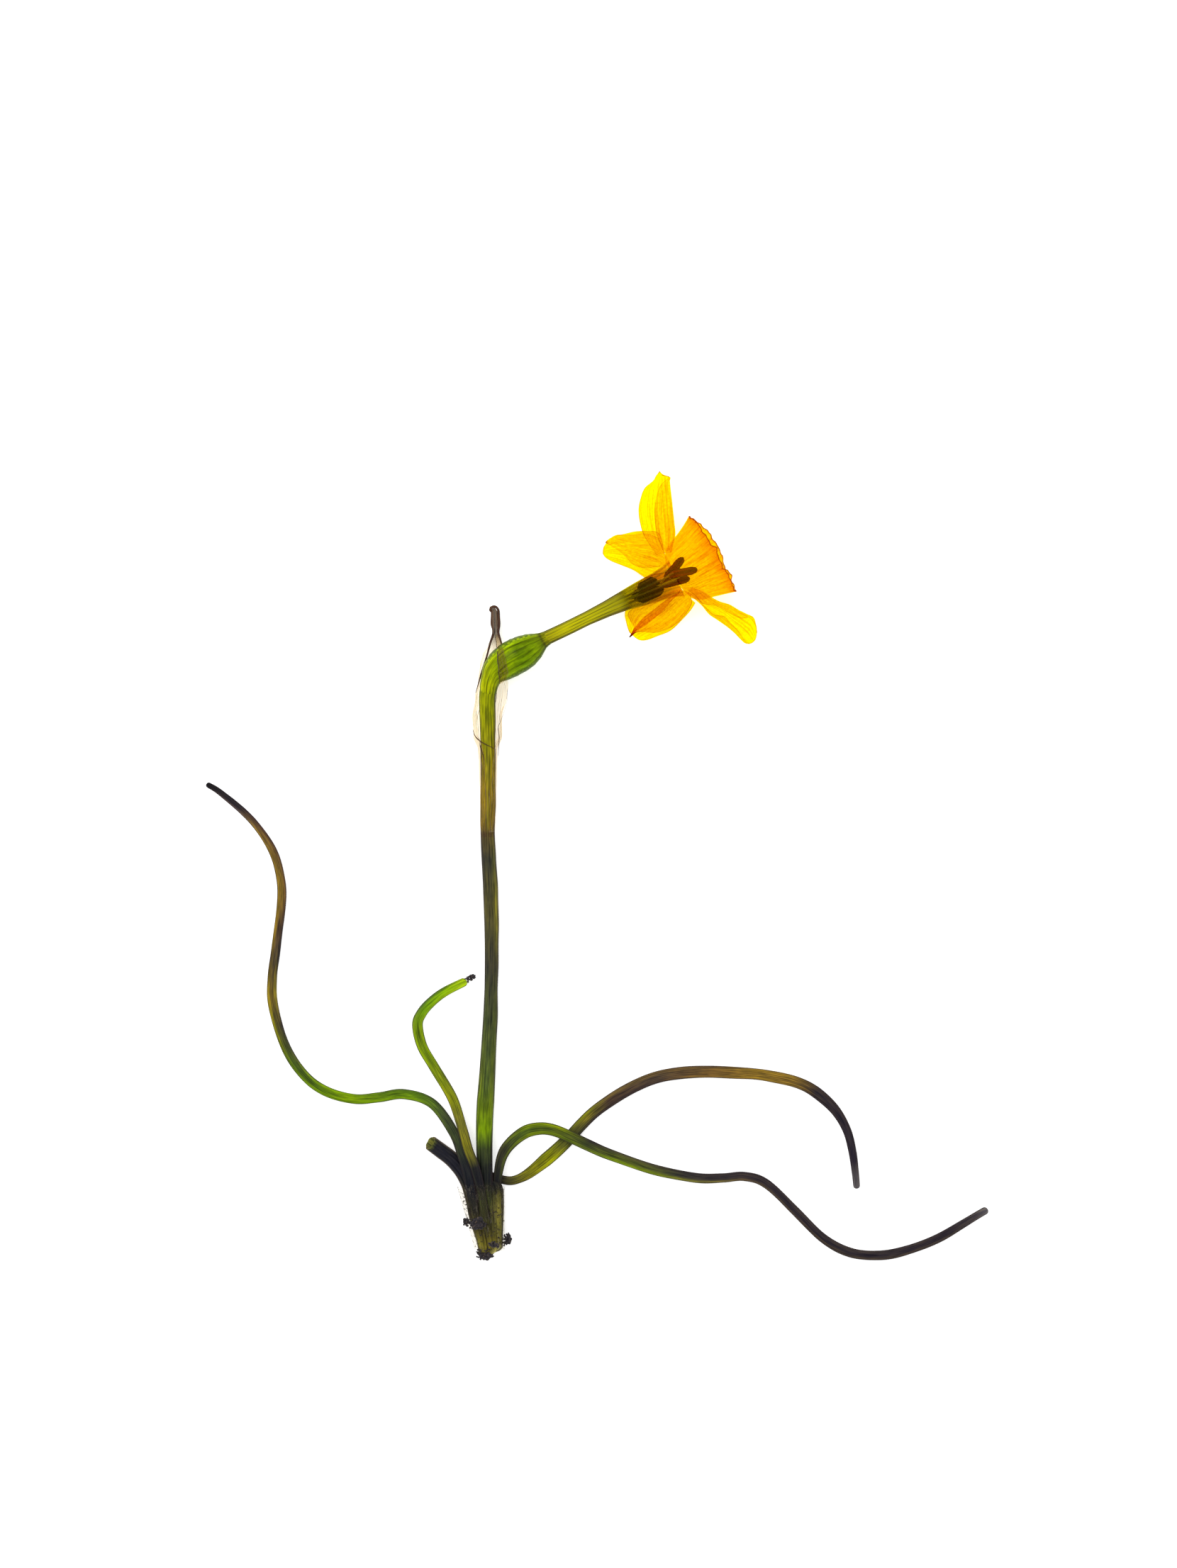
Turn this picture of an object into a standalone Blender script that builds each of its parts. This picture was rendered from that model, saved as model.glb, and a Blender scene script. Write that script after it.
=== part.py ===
"""A small daffodil, picked with its leaves and laid on its side on a table.

The flower stalk and its bent flower run up the +Y axis, the leaves trail to both
sides, and everything rests on z = 0. Coordinates below are in millimetres in the
plant's own layout; the finished plant is moved so that the bottom centre of its
box is the origin. Neighbouring pieces keep a gap of about 0.3 mm.
"""

import math

import bmesh
import bpy
from mathutils import Vector, noise

MM = 0.001
GAP = 0.3

# Driving dimensions, in millimetres.
TEPAL_THICKNESS = 0.4
MEMBRANE = 0.3
CORONA_WALL = 0.45
TUBE_WALL = 0.5
LEAF_THICKNESS = 0.55  # share of a leaf's half width that it is deep
STALK_SIDES = 12
LEAF_SIDES = 8

# The flower's mouth, where tube, corona and tepals meet.
THROAT = Vector((20.1, 72.9, 7.6))
CORONA_TURN = math.radians(33)
CORONA_AXIS = Vector((math.cos(CORONA_TURN), math.sin(CORONA_TURN), 0.09)).normalized()
CORONA_LEFT = Vector((-math.sin(CORONA_TURN), math.cos(CORONA_TURN), 0))
CORONA_UP = CORONA_AXIS.cross(CORONA_LEFT)
THROAT_RADIUS = 5.1
RIM_RADIUS = 11.1
CORONA_LENGTH = 9.9
PRESSED = 0.76  # the resting flower is this much flatter than it is wide


def clear_scene():
    for old in list(bpy.data.objects):
        bpy.data.objects.remove(old)


def plant_material(name, colour, roughness):
    made = bpy.data.materials.new(name)
    made.use_nodes = True
    shader = made.node_tree.nodes["Principled BSDF"]
    shader.inputs["Base Color"].default_value = (*colour, 1)
    shader.inputs["Roughness"].default_value = roughness
    shader.inputs["Metallic"].default_value = 0
    return made


def smooth_curve(points, count):
    """count points, evenly spaced along a smooth curve through the given ones."""
    given = [Vector(p) for p in points]
    ends = [2 * given[0] - given[1], *given, 2 * given[-1] - given[-2]]
    steps = 16
    fine = []
    for before, start, stop, after in zip(ends, ends[1:], ends[2:], ends[3:]):
        for k in range(steps):
            t = k / steps
            linear = (stop - before) * t
            square = (2 * before - 5 * start + 4 * stop - after) * t**2
            cube = (3 * start - before - 3 * stop + after) * t**3
            fine.append((2 * start + linear + square + cube) / 2)
    fine.append(given[-1])
    travelled = [0.0]
    for a, b in zip(fine, fine[1:]):
        travelled.append(travelled[-1] + (b - a).length)
    even = []
    j = 0
    for k in range(count):
        wanted = travelled[-1] * k / (count - 1)
        while j < len(fine) - 2 and travelled[j + 1] < wanted:
            j += 1
        share = (wanted - travelled[j]) / (travelled[j + 1] - travelled[j])
        even.append(fine[j].lerp(fine[j + 1], min(share, 1.0)))
    return even


def value_at(pairs, t):
    """Straight-line interpolation through (t, value) pairs."""
    for (t0, v0), (t1, v1) in zip(pairs, pairs[1:]):
        if t <= t1:
            return v0 + (v1 - v0) * max(0.0, t - t0) / (t1 - t0)
    return pairs[-1][1]


def smooth_rows(rows, count):
    """count rows of a table of numbers, evenly spread over its first column and eased between."""
    first, last = rows[0][0], rows[-1][0]
    found = []
    for k in range(count):
        at = first + (last - first) * k / (count - 1)
        lower, upper = next((a, b) for a, b in zip(rows, rows[1:]) if at <= b[0] + 1e-9)
        share = (at - lower[0]) / (upper[0] - lower[0])
        share = share * share * (3 - 2 * share)
        found.append((at, *(a + (b - a) * share for a, b in zip(lower[1:], upper[1:]))))
    return found


def frames_along(route):
    """(point, tangent, level side, upward) for each point of a mostly level route."""
    found = []
    for k, point in enumerate(route):
        ahead = route[min(k + 1, len(route) - 1)]
        behind = route[max(k - 1, 0)]
        tangent = (ahead - behind).normalized()
        side = tangent.cross(Vector((0, 0, 1))).normalized()
        found.append((point, tangent, side, side.cross(tangent)))
    return found


def add_piece(name, bm, finish):
    bmesh.ops.recalc_face_normals(bm, faces=bm.faces)
    mesh = bpy.data.meshes.new(name)
    bm.to_mesh(mesh)
    bm.free()
    mesh.materials.append(finish)
    mesh.shade_smooth()
    piece = bpy.data.objects.new(name, mesh)
    bpy.context.scene.collection.objects.link(piece)
    return piece


def loft(name, rings, finish, ring_shaped=False):
    """A closed skin through rings of points: capped, or joined end to end as a tube's wall is."""
    bm = bmesh.new()
    loops = [[bm.verts.new(p * MM) for p in ring] for ring in rings]
    pairs = list(zip(loops, loops[1:]))
    if ring_shaped:
        pairs.append((loops[-1], loops[0]))
    else:
        bm.faces.new(loops[0])
        bm.faces.new(loops[-1])
    for lower, upper in pairs:
        for k in range(len(lower)):
            n = (k + 1) % len(lower)
            bm.faces.new((lower[k], lower[n], upper[n], upper[k]))
    return add_piece(name, bm, finish)


def circle(sides):
    return [
        (math.cos(math.tau * k / sides), math.sin(math.tau * k / sides))
        for k in range(sides)
    ]


def half_round(sides):
    """A rush leaf's section: rounded below and nearly flat above."""
    return [(x, y * (0.3 if y > 0 else 1.0)) for x, y in circle(sides)]


def strand(name, route, stations, widths, depth, section, finish):
    """A stalk or leaf swept along route, with (share of length, half width) pairs."""
    rings = []
    placed = frames_along(smooth_curve(route, stations))
    for k, (point, _, side, up) in enumerate(placed):
        half = value_at(widths, k / (stations - 1))
        rings.append([point + side * x * half + up * y * half * depth for x, y in section])
    return loft(name, rings, finish)


# ---- the flower stalk, the hollow stub of a second one, and the leaves ----


def build_scape(finish):
    route = [
        (-26.9, -96.6, 3.0), (-27.5, -90, 3.3), (-28.3, -82, 3.75), (-28.6, -74, 3.4),
        (-28.6, -64, 2.5), (-27.9, -52, 2.1), (-27.1, -36, 2.0), (-26.8, -20, 2.0),
        (-27.1, -6, 2.2), (-27.8, 8, 2.75), (-27.7, 22, 3.4), (-27.75, 34, 4.0),
        (-27.85, 42, 4.5), (-27.5, 46.2, 4.8),
    ]
    widths = [
        (0, 0.95), (0.045, 1.45), (0.1, 1.85), (0.18, 2.0), (0.26, 2.15), (0.32, 1.95),
        (0.46, 1.65), (0.62, 1.85), (0.69, 1.8), (0.725, 1.5), (0.9, 1.65), (1, 2.15),
    ]
    return strand("scape", route, 40, widths, 0.92, circle(STALK_SIDES), finish)


def build_stub(finish):
    """A second stalk, cut off short; the bore shows at its cut end."""
    route = [
        (-29.1, -96.6, 2.9), (-30.6, -90, 3.05), (-32.2, -82, 3.55), (-33.3, -79, 3.5),
        (-34.8, -76.4, 3.3), (-37, -74, 3.0), (-39.8, -71.9, 2.6), (-42.7, -69.8, 2.2),
    ]
    widths = [(0, 1.0), (0.2, 1.35), (0.45, 1.75), (0.7, 1.95), (1, 1.85)]
    stub = strand("cut_stalk_stub", route, 18, widths, 0.85, circle(STALK_SIDES), finish)
    mouth = Vector(route[-1])
    inward = (Vector(route[-2]) - mouth).normalized()
    bore_radius, bore_depth, overrun = 1.1, 4.0, 1.0
    bpy.ops.mesh.primitive_cone_add(
        vertices=STALK_SIDES,
        radius1=bore_radius * MM,
        radius2=0.6 * bore_radius * MM,
        depth=(bore_depth + overrun) * MM,
        location=(mouth + inward * (bore_depth - overrun) / 2) * MM,
        rotation=inward.to_track_quat("Z", "Y").to_euler(),
    )
    cutter = bpy.context.object
    cutter.name = "bore_cutter"
    cutter.hide_render = True
    cutter.display_type = "WIRE"
    bore = stub.modifiers.new("bore", "BOOLEAN")
    bore.operation = "DIFFERENCE"
    bore.object = cutter
    return stub


def build_leaves(green):
    long_left = [
        (-28.3, -95.4, 4.85), (-30.4, -90, 5.1), (-32, -82, 5.95), (-32.9, -77, 5.9),
        (-34.4, -72.4, 4.9), (-36.5, -67.3, 3.3), (-41.9, -60.1, 1.5), (-49.1, -57.8, 0.85),
        (-55.4, -58.6, 0.75), (-61.7, -59, 0.75), (-68.9, -57.1, 0.75), (-74.3, -53.1, 0.75),
        (-78.9, -46.3, 0.75), (-82.3, -35.5, 0.75), (-82.5, -28.3, 0.75), (-81.6, -21.1, 0.75),
        (-80.3, -10.3, 0.75), (-80.4, -3.1, 0.75), (-82.5, 4.1, 0.75), (-87.3, 11.3, 0.75),
        (-95.4, 18.5, 0.75), (-99.2, 21, 0.75),
    ]
    short = [
        (-26.3, -95.4, 5.0), (-28, -90, 5.5), (-29.4, -82, 6.15), (-30.9, -76, 6.6),
        (-32.6, -71.5, 5.9), (-34, -66.9, 4.6), (-36.7, -58.9, 2.6), (-41.5, -50.8, 1.1),
        (-44.6, -45.4, 0.8), (-45.7, -40.2, 0.8), (-44.6, -37.2, 0.8), (-42.4, -34.6, 0.8),
        (-38.9, -31.9, 0.8), (-33.2, -29, 0.8),
    ]
    low_right = [
        (-25.2, -96, 3.1), (-24.95, -90, 3.1), (-25.35, -82, 3.3), (-25.25, -78.5, 3.3),
        (-24.1, -73.4, 3.1), (-22.1, -70.2, 2.8), (-18.5, -67.3, 2.5), (-14.9, -66.4, 2.3),
        (-11.3, -66.8, 2.2), (-6.8, -68.6, 2.15), (-2.5, -70.6, 1.8), (3.1, -73.1, 1.1),
        (13.9, -76.8, 0.8), (24.7, -79, 0.75), (31.9, -79.1, 0.75), (37.3, -78.7, 0.75),
        (42.7, -80.4, 0.75), (49.9, -87.2, 0.75), (57.1, -94.3, 0.75), (64.3, -98, 0.75),
        (71.5, -98.7, 0.75), (78.7, -97.4, 0.75), (85.9, -94.6, 0.75), (93.1, -90.5, 0.75),
        (99, -87, 0.75),
    ]
    high_right = [
        (-29.7, -91, 1.15), (-30.6, -86, 1.3), (-31.5, -81.8, 1.35), (-31.4, -78.6, 1.2),
        (-29.3, -77.7, 1.1), (-26.8, -78.6, 1.0), (-23.6, -79.6, 0.9), (-21.1, -79.6, 0.85),
        (-17.6, -78, 0.85), (-13.1, -74.5, 0.85), (-7.7, -69.5, 0.8), (-4.1, -65.5, 0.8),
        (0, -61.7, 0.8), (6.7, -57.2, 0.8), (13.9, -53.9, 0.8), (21.1, -52.4, 0.8),
        (28.3, -52.1, 0.8), (35.5, -52.4, 0.8), (42.7, -53.1, 0.8), (49.9, -54.6, 0.8),
        (55.3, -57.2, 0.8), (60.1, -61.6, 0.8), (63.2, -67, 0.8), (64.7, -72.4, 0.8),
        (65.4, -77.8, 0.8), (65.8, -81.8, 0.8),
    ]
    shapes = {
        "leaf_long_left": (
            long_left, 54,
            [(0, 0.85), (0.08, 1.15), (0.25, 1.25), (0.6, 1.2), (0.85, 1.05), (1, 0.7)],
        ),
        "leaf_short": (
            short, 34,
            [(0, 0.8), (0.2, 1.1), (0.5, 1.25), (0.8, 1.3), (1, 1.05)],
        ),
        "leaf_low_right": (
            low_right, 54,
            [(0, 0.55), (0.04, 0.8), (0.1, 0.95), (0.15, 1.45), (0.2, 1.55), (0.4, 1.3),
             (0.6, 1.1), (0.85, 1.2), (1, 0.95)],
        ),
        "leaf_high_right": (
            high_right, 54,
            [(0, 1.15), (0.08, 1.2), (0.12, 1.0), (0.18, 1.1), (0.24, 1.75), (0.32, 1.5),
             (0.5, 1.5), (0.8, 1.4), (0.92, 1.0), (1, 0.8)],
        ),
    }
    for name, (route, stations, widths) in shapes.items():
        strand(name, route, stations, widths, LEAF_THICKNESS, half_round(LEAF_SIDES), green)


# ---- the clear sheath round the foot and the papery spathe under the flower ----


def squared_circle(sides, power=3.0):
    """A circle pressed towards a square, as a sheath round a bundle of leaves is."""
    found = []
    for x, y in circle(sides):
        size = (abs(x) ** power + abs(y) ** power) ** (-1 / power)
        found.append((x * size, y * size))
    return found


def build_sheath(finish):
    """An open tube, cut aslant above so that one leaf can leave under its rim."""
    foot, top = Vector((-27.3, -96.9, 3.35)), Vector((-29.5, -81.2, 4.15))
    foot_half, top_half = (3.75, 3.35), (6.0, 4.15)
    slant = 2.2
    levels = 5
    rings = []
    for inset, order in ((0, range(levels)), (MEMBRANE, reversed(range(levels)))):
        for k in order:
            t = k / (levels - 1)
            centre = foot.lerp(top, t)
            half_x = foot_half[0] + (top_half[0] - foot_half[0]) * t - inset
            half_z = foot_half[1] + (top_half[1] - foot_half[1]) * t - inset
            rings.append([
                centre + Vector((x * half_x, z * slant * t / 2, z * half_z))
                for x, z in squared_circle(20)
            ])
    return loft("basal_sheath", rings, finish, ring_shaped=True)


# Along the spathe: (y, centre x, centre z, half width, half height, arc from, arc to), the arc
# in degrees from +X over the top; what is left out of the full turn is the slit it opens by.
SPATHE_STATIONS = [
    (7.5, -27.8, 2.75, 2.15, 2.1, 100, 440), (16, -27.7, 3.1, 2.15, 2.1, 100, 440),
    (26, -27.75, 3.6, 2.3, 2.25, 110, 430), (29.5, -27.8, 3.75, 2.5, 2.5, 115, 420),
    (33, -27.8, 3.7, 3.7, 3.1, 130, 400), (38, -27.9, 3.7, 3.8, 3.25, 135, 390),
    (43, -26.95, 3.6, 4.1, 3.2, 145, 370), (47, -26.4, 3.2, 3.9, 2.8, 155, 345),
    (51, -26.2, 2.9, 3.6, 2.4, 160, 315), (53.5, -26.4, 2.9, 2.8, 2.2, 160, 320),
    (56, -25.8, 2.4, 1.9, 1.6, 150, 335), (58.5, -25.8, 1.8, 0.9, 0.85, 130, 400),
    (62, -26.0, 1.4, 0.8, 0.7, 110, 425), (64.3, -26.1, 1.3, 0.75, 0.65, 110, 425),
    (65.9, -26.7, 1.3, 0.65, 0.6, 110, 425),
]


def build_spathe(finish):
    """The dry bract: a sleeve on the stalk that opens into a trough and ends in a beak."""
    arc_points = 9
    stations = smooth_rows(SPATHE_STATIONS, 26)
    rings = []
    for y, centre_x, centre_z, half_x, half_z, arc_from, arc_to in stations:
        ring = []
        for inset, order in ((0, range(arc_points)), (MEMBRANE, reversed(range(arc_points)))):
            for n in order:
                angle = math.radians(arc_from + (arc_to - arc_from) * n / (arc_points - 1))
                x = centre_x + (half_x - inset) * math.cos(angle)
                z = centre_z + (half_z - inset) * math.sin(angle)
                ring.append(Vector((x, y, z)))
        rings.append(ring)
    return loft("spathe", rings, finish)


# ---- the flower ----


def build_ovary(finish):
    """The swelling seed capsule, three-lobed, from the stalk's bend to the tube."""
    route = [
        (-27.3, 46.8, 4.9), (-26.9, 48.2, 5.1), (-25.0, 49.9, 5.35), (-22.4, 51.9, 5.5),
        (-19.6, 54.0, 5.5), (-16.8, 56.0, 5.45), (-14.3, 57.1, 5.4),
    ]
    radii = [
        (0, 2.15), (0.1, 2.5), (0.25, 3.6), (0.4, 4.15), (0.6, 4.2), (0.8, 3.6), (0.92, 2.7),
        (1, 2.0),
    ]
    stations = 13
    rings = []
    for k, (point, _, side, up) in enumerate(frames_along(smooth_curve(route, stations))):
        ring = []
        for x, y in circle(15):
            lobes = 1 + 0.04 * math.cos(3 * math.atan2(y, x))
            reach = value_at(radii, k / (stations - 1)) * lobes
            ring.append(point + side * x * reach + up * y * reach * 0.92)
        rings.append(ring)
    return loft("ovary", rings, finish)


TUBE_ROUTE = [
    (-13.9, 57.3, 5.4), (-7.8, 60.2, 5.6), (-2.3, 62.9, 5.9), (7, 67.3, 6.5), (14, 70.2, 7.1),
    (19.7, 72.7, 7.5),
]
TUBE_RADII = [
    (0, 1.95), (0.08, 1.65), (0.35, 1.65), (0.5, 1.95), (0.62, 2.4), (0.75, 3.1),
    (0.87, 3.55), (0.95, 4.1), (1, 4.8),
]


def build_tube(finish):
    """The floral tube: solid at the ovary, hollow from a third of its length to the mouth."""
    stations = 16
    hollow_from = 6
    placed = frames_along(smooth_curve(TUBE_ROUTE, stations))
    outside = [(k, 0.0) for k in range(stations)]
    inside = [(k, TUBE_WALL) for k in reversed(range(hollow_from, stations))]
    rings = []
    for k, wall in outside + inside:
        point, _, side, up = placed[k]
        t = k / (stations - 1)
        reach = value_at(TUBE_RADII, t) - wall
        flat = 0.95 - 0.13 * t
        rings.append([point + side * x * reach + up * y * reach * flat for x, y in circle(16)])
    return loft("floral_tube", rings, finish)


def corona_point(turn, along, inset=0.0):
    """A point of the corona: turn goes round from the left side, along runs from throat to rim."""
    spread = THROAT_RADIUS + (RIM_RADIUS - THROAT_RADIUS) * along**1.05
    ruffle = 0.35 * along**3 * math.cos(9 * turn) + 0.2 * along**3 * math.sin(5 * turn)
    reach = spread + ruffle - inset
    faces = math.sin(turn) ** 2  # 1 on the two broad sides of the pressed cone
    forward = along * (CORONA_LENGTH + 1.4 * faces + 0.3 * along * math.cos(7 * turn))
    across = CORONA_LEFT * math.cos(turn) + CORONA_UP * math.sin(turn) * PRESSED
    return THROAT + CORONA_AXIS * (forward + 0.9) + across * reach


def build_corona(finish):
    levels, sides = 6, 32
    rings = []
    for inset, order in ((0, range(levels)), (CORONA_WALL, reversed(range(levels)))):
        for k in order:
            along = k / (levels - 1)
            rings.append([
                corona_point(math.tau * n / sides, along, inset) for n in range(sides)
            ])
    return loft("corona", rings, finish, ring_shaped=True)


def build_tepal(name, route, widths, section, finish, columns=9, stations=9):
    """A tepal: a section of (across, upward) points, scaled by its half width along the route."""
    placed = frames_along(smooth_curve(route, stations))
    across = smooth_curve([(x, y, 0) for x, y in section], columns)
    bm = bmesh.new()
    rows = []
    for k, (point, _, side, up) in enumerate(placed):
        half = value_at(widths, k / (stations - 1))
        rows.append([bm.verts.new((point + side * p.x * half + up * p.y * half) * MM) for p in across])
    for lower, upper in zip(rows, rows[1:]):
        for n in range(columns - 1):
            bm.faces.new((lower[n], lower[n + 1], upper[n + 1], upper[n]))
    tepal = add_piece(name, bm, finish)
    skin = tepal.modifiers.new("thickness", "SOLIDIFY")
    skin.thickness = TEPAL_THICKNESS * MM
    skin.offset = 0
    return tepal


def build_tepals(finish):
    top_hook = [(-1, 0.0), (-0.55, -0.1), (-0.1, 0.0), (0, 0.14), (-0.12, 0.26), (-0.5, 0.3)]
    gentle = [(-1, 0.14), (-0.5, 0.04), (0, 0), (0.5, 0.03), (1, 0.1)]
    pleated = [(-1, -0.02), (-0.25, 0.02), (0, 0.16), (0.25, 0.02), (1, -0.05)]
    rolled = [
        (-0.3, 0.52), (-0.8, 0.45), (-1, 0.15), (-0.5, -0.1), (0.5, -0.1), (1, 0.15), (0.8, 0.45),
        (0.3, 0.5),
    ]
    build_tepal(
        "tepal_top",
        [(19.4, 80.8, 8.8), (19.2, 86, 8.6), (18.9, 91, 8.2), (18.5, 95.5, 7.9), (18.1, 98.2, 7.6),
         (16.9, 99.8, 7.4)],
        [(0, 5.2), (0.2, 7.8), (0.45, 8.7), (0.7, 7.2), (0.86, 4.9), (0.93, 3.6), (1, 1.2)],
        top_hook, finish, columns=11, stations=11,
    )
    build_tepal(
        "tepal_upper_front",
        [(18, 76.2, 12.4), (15.6, 77.6, 13.3), (12, 79.4, 14), (8, 80.6, 14), (4.5, 81.2, 13.2),
         (1.7, 80.9, 12.2)],
        [(0, 1.6), (0.2, 3.4), (0.35, 4.6), (0.6, 4.5), (0.8, 2.9), (0.93, 1.5), (1, 0.5)],
        gentle, finish, stations=11,
    )
    build_tepal(
        "tepal_upper_back",
        [(17.6, 75.8, 3), (15, 77.2, 1.7), (12, 78.5, 0.8), (9, 79.2, 0.55), (5.5, 79.9, 0.5),
         (1.2, 79.9, 0.4)],
        [(0, 1.6), (0.2, 3.2), (0.4, 4.5), (0.6, 4.2), (0.85, 2.8), (0.95, 1.6), (1, 0.6)],
        gentle, finish, stations=11,
    )
    build_tepal(
        "tepal_lower_front",
        [(21.3, 70.6, 12.1), (20, 69, 12.9), (17, 66.4, 13.4), (13.6, 63.4, 13.2), (10.4, 60.6, 12.4),
         (8, 58, 11.6)],
        [(0, 1.8), (0.2, 4.6), (0.35, 5.8), (0.6, 5.6), (0.85, 2.4), (1, 0.25)],
        pleated, finish, stations=11,
    )
    build_tepal(
        "tepal_lower_back",
        [(22, 68.9, 2.4), (19, 67, 1.2), (15.5, 64.9, 0.75), (12, 62.6, 0.65), (8.6, 60.3, 0.7)],
        [(0, 2.4), (0.25, 5.2), (0.5, 6.0), (0.75, 5.2), (0.92, 3.2), (1, 1.6)],
        gentle, finish, stations=11,
    )
    build_tepal(
        "tepal_bottom",
        [(25.4, 67.5, 7), (28.7, 66.2, 6.2), (32.6, 63.9, 4.8), (36, 61.4, 3.4), (38.2, 59, 2.7),
         (39.3, 57, 2.4)],
        [(0, 1.0), (0.2, 1.9), (0.45, 2.3), (0.7, 2.8), (0.88, 2.4), (1, 1.0)],
        rolled, finish, columns=15,
    )


def build_stamens(finish):
    """Three stamens deep in the tube and three higher, in the corona's mouth."""
    lower = [
        ((2.6, 65.8, 6.9), (9.3, 68.9, 7.9), (14.3, 71.3, 8.5)),
        ((2.6, 65.2, 5.5), (9.3, 68.0, 5.4), (14.3, 70.3, 5.6)),
        ((3.2, 64.7, 6.3), (10.2, 67.2, 7.2), (15.4, 69.4, 7.9)),
    ]
    upper = [
        ((15.5, 72.6, 8.6), (17.7, 73.7, 9.0), (21.6, 78.2, 9.2)),
        ((16.4, 70.3, 9.0), (18.9, 72.5, 9.9), (24.4, 74.8, 10.2)),
        ((16.3, 70.8, 5.6), (17.7, 71.6, 5.4), (23.2, 73.3, 5.4)),
    ]
    anther_half, filament_half = 0.72, 0.22
    for group, paths in (("lower", lower), ("upper", upper)):
        for n, (foot, neck, tip) in enumerate(paths, 1):
            anther_from = (Vector(neck) - Vector(foot)).length
            total = anther_from + (Vector(tip) - Vector(neck)).length
            at = anther_from / total
            widths = [
                (0, filament_half), (at - 0.04, filament_half), (at, 0.45),
                (at + (1 - at) * 0.2, anther_half), (at + (1 - at) * 0.75, anther_half), (1, 0.25),
            ]
            strand(f"stamen_{group}_{n}", (foot, neck, tip), 14, widths, 0.9, circle(8), finish)


def build_style(finish):
    route = [(3.6, 65.5, 6.2), (7, 67.35, 6.5), (14, 70.45, 7.1), (19.8, 72.8, 7.5), (22.6, 74.6, 7.6)]
    widths = [(0, 0.25), (0.9, 0.25), (0.95, 0.55), (1, 0.6)]
    return strand("style_and_stigma", route, 14, widths, 1.0, circle(8), finish)


# ---- soil on the torn foot ----


def build_soil(finish):
    """Crumbs of dark soil: lumps roughened by a fixed noise, each flattened where it sits."""
    lumps = {
        "soil_clump_on_sheath": ((-29.9, -89.9, 8.6), (1.9, 1.5, 0.75)),
        "soil_crumb_left": ((-33.1, -89.3, 7.5), (0.8, 1.0, 0.6)),
        "soil_clump_foot": ((-28.4, -98.7, 2.6), (2.1, 1.3, 1.9)),
        "soil_ridge_on_sheath": ((-26.1, -95.3, 7.75), (1.6, 0.7, 0.5)),
        "soil_clump_right": ((-21.9, -94.3, 2.4), (1.1, 1.5, 1.3)),
        "soil_crumb_short_leaf": ((-31.7, -28.0, 1.0), (0.8, 0.6, 0.6)),
    }
    roughness, grain = 0.16, 1.4
    for n, (name, (place, half)) in enumerate(lumps.items()):
        bm = bmesh.new()
        bmesh.ops.create_icosphere(bm, subdivisions=2, radius=1)
        for vert in bm.verts:
            swell = 1 + roughness * noise.noise(vert.co * grain + Vector((n * 7.3, 0, 0))) * 2
            rough = Vector([vert.co[i] * half[i] * swell for i in range(3)])
            vert.co = (Vector(place) + rough) * MM
        add_piece(name, bm, finish)


def stand_on_origin():
    """Moves every piece so that the bottom centre of the whole plant's box is the origin."""
    graph = bpy.context.evaluated_depsgraph_get()
    shown = [o for o in bpy.data.objects if not o.hide_render]
    corners = []
    for piece in shown:
        evaluated = piece.evaluated_get(graph)
        corners += [evaluated.matrix_world @ v.co for v in evaluated.data.vertices]
    low = Vector([min(c[i] for c in corners) for i in range(3)])
    high = Vector([max(c[i] for c in corners) for i in range(3)])
    shift = Vector((-(low.x + high.x) / 2, -(low.y + high.y) / 2, -low.z))
    plant = bpy.data.objects.new("plant", None)
    bpy.context.scene.collection.objects.link(plant)
    for piece in list(bpy.data.objects):
        if piece is not plant:
            piece.parent = plant
    plant.location = shift


def main():
    clear_scene()
    stalk_green = plant_material("stalk_green", (0.2, 0.26, 0.03), 0.5)
    leaf_green = plant_material("leaf_green", (0.14, 0.2, 0.03), 0.5)
    capsule_green = plant_material("capsule_green", (0.22, 0.42, 0.02), 0.45)
    tube_green = plant_material("tube_green", (0.45, 0.48, 0.03), 0.5)
    tepal_yellow = plant_material("tepal_yellow", (0.95, 0.75, 0.02), 0.6)
    corona_orange = plant_material("corona_orange", (0.95, 0.5, 0.01), 0.6)
    anther_brown = plant_material("anther_brown", (0.2, 0.08, 0.02), 0.8)
    membrane_clear = plant_material("sheath_membrane", (0.8, 0.78, 0.7), 0.4)
    paper_brown = plant_material("spathe_paper", (0.55, 0.42, 0.28), 0.7)
    soil_dark = plant_material("soil", (0.02, 0.015, 0.02), 0.95)

    build_scape(stalk_green)
    build_stub(stalk_green)
    build_leaves(leaf_green)
    build_sheath(membrane_clear)
    build_spathe(paper_brown)
    build_ovary(capsule_green)
    build_tube(tube_green)
    build_corona(corona_orange)
    build_tepals(tepal_yellow)
    build_stamens(anther_brown)
    build_style(tube_green)
    build_soil(soil_dark)
    bpy.context.view_layer.update()
    stand_on_origin()


main()
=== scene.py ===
"""A small daffodil, picked with its leaves and laid on its side on a light table.

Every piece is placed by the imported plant: routes and outlines below are in millimetres.
"""

import math
import random

import bpy
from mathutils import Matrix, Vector, noise


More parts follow.
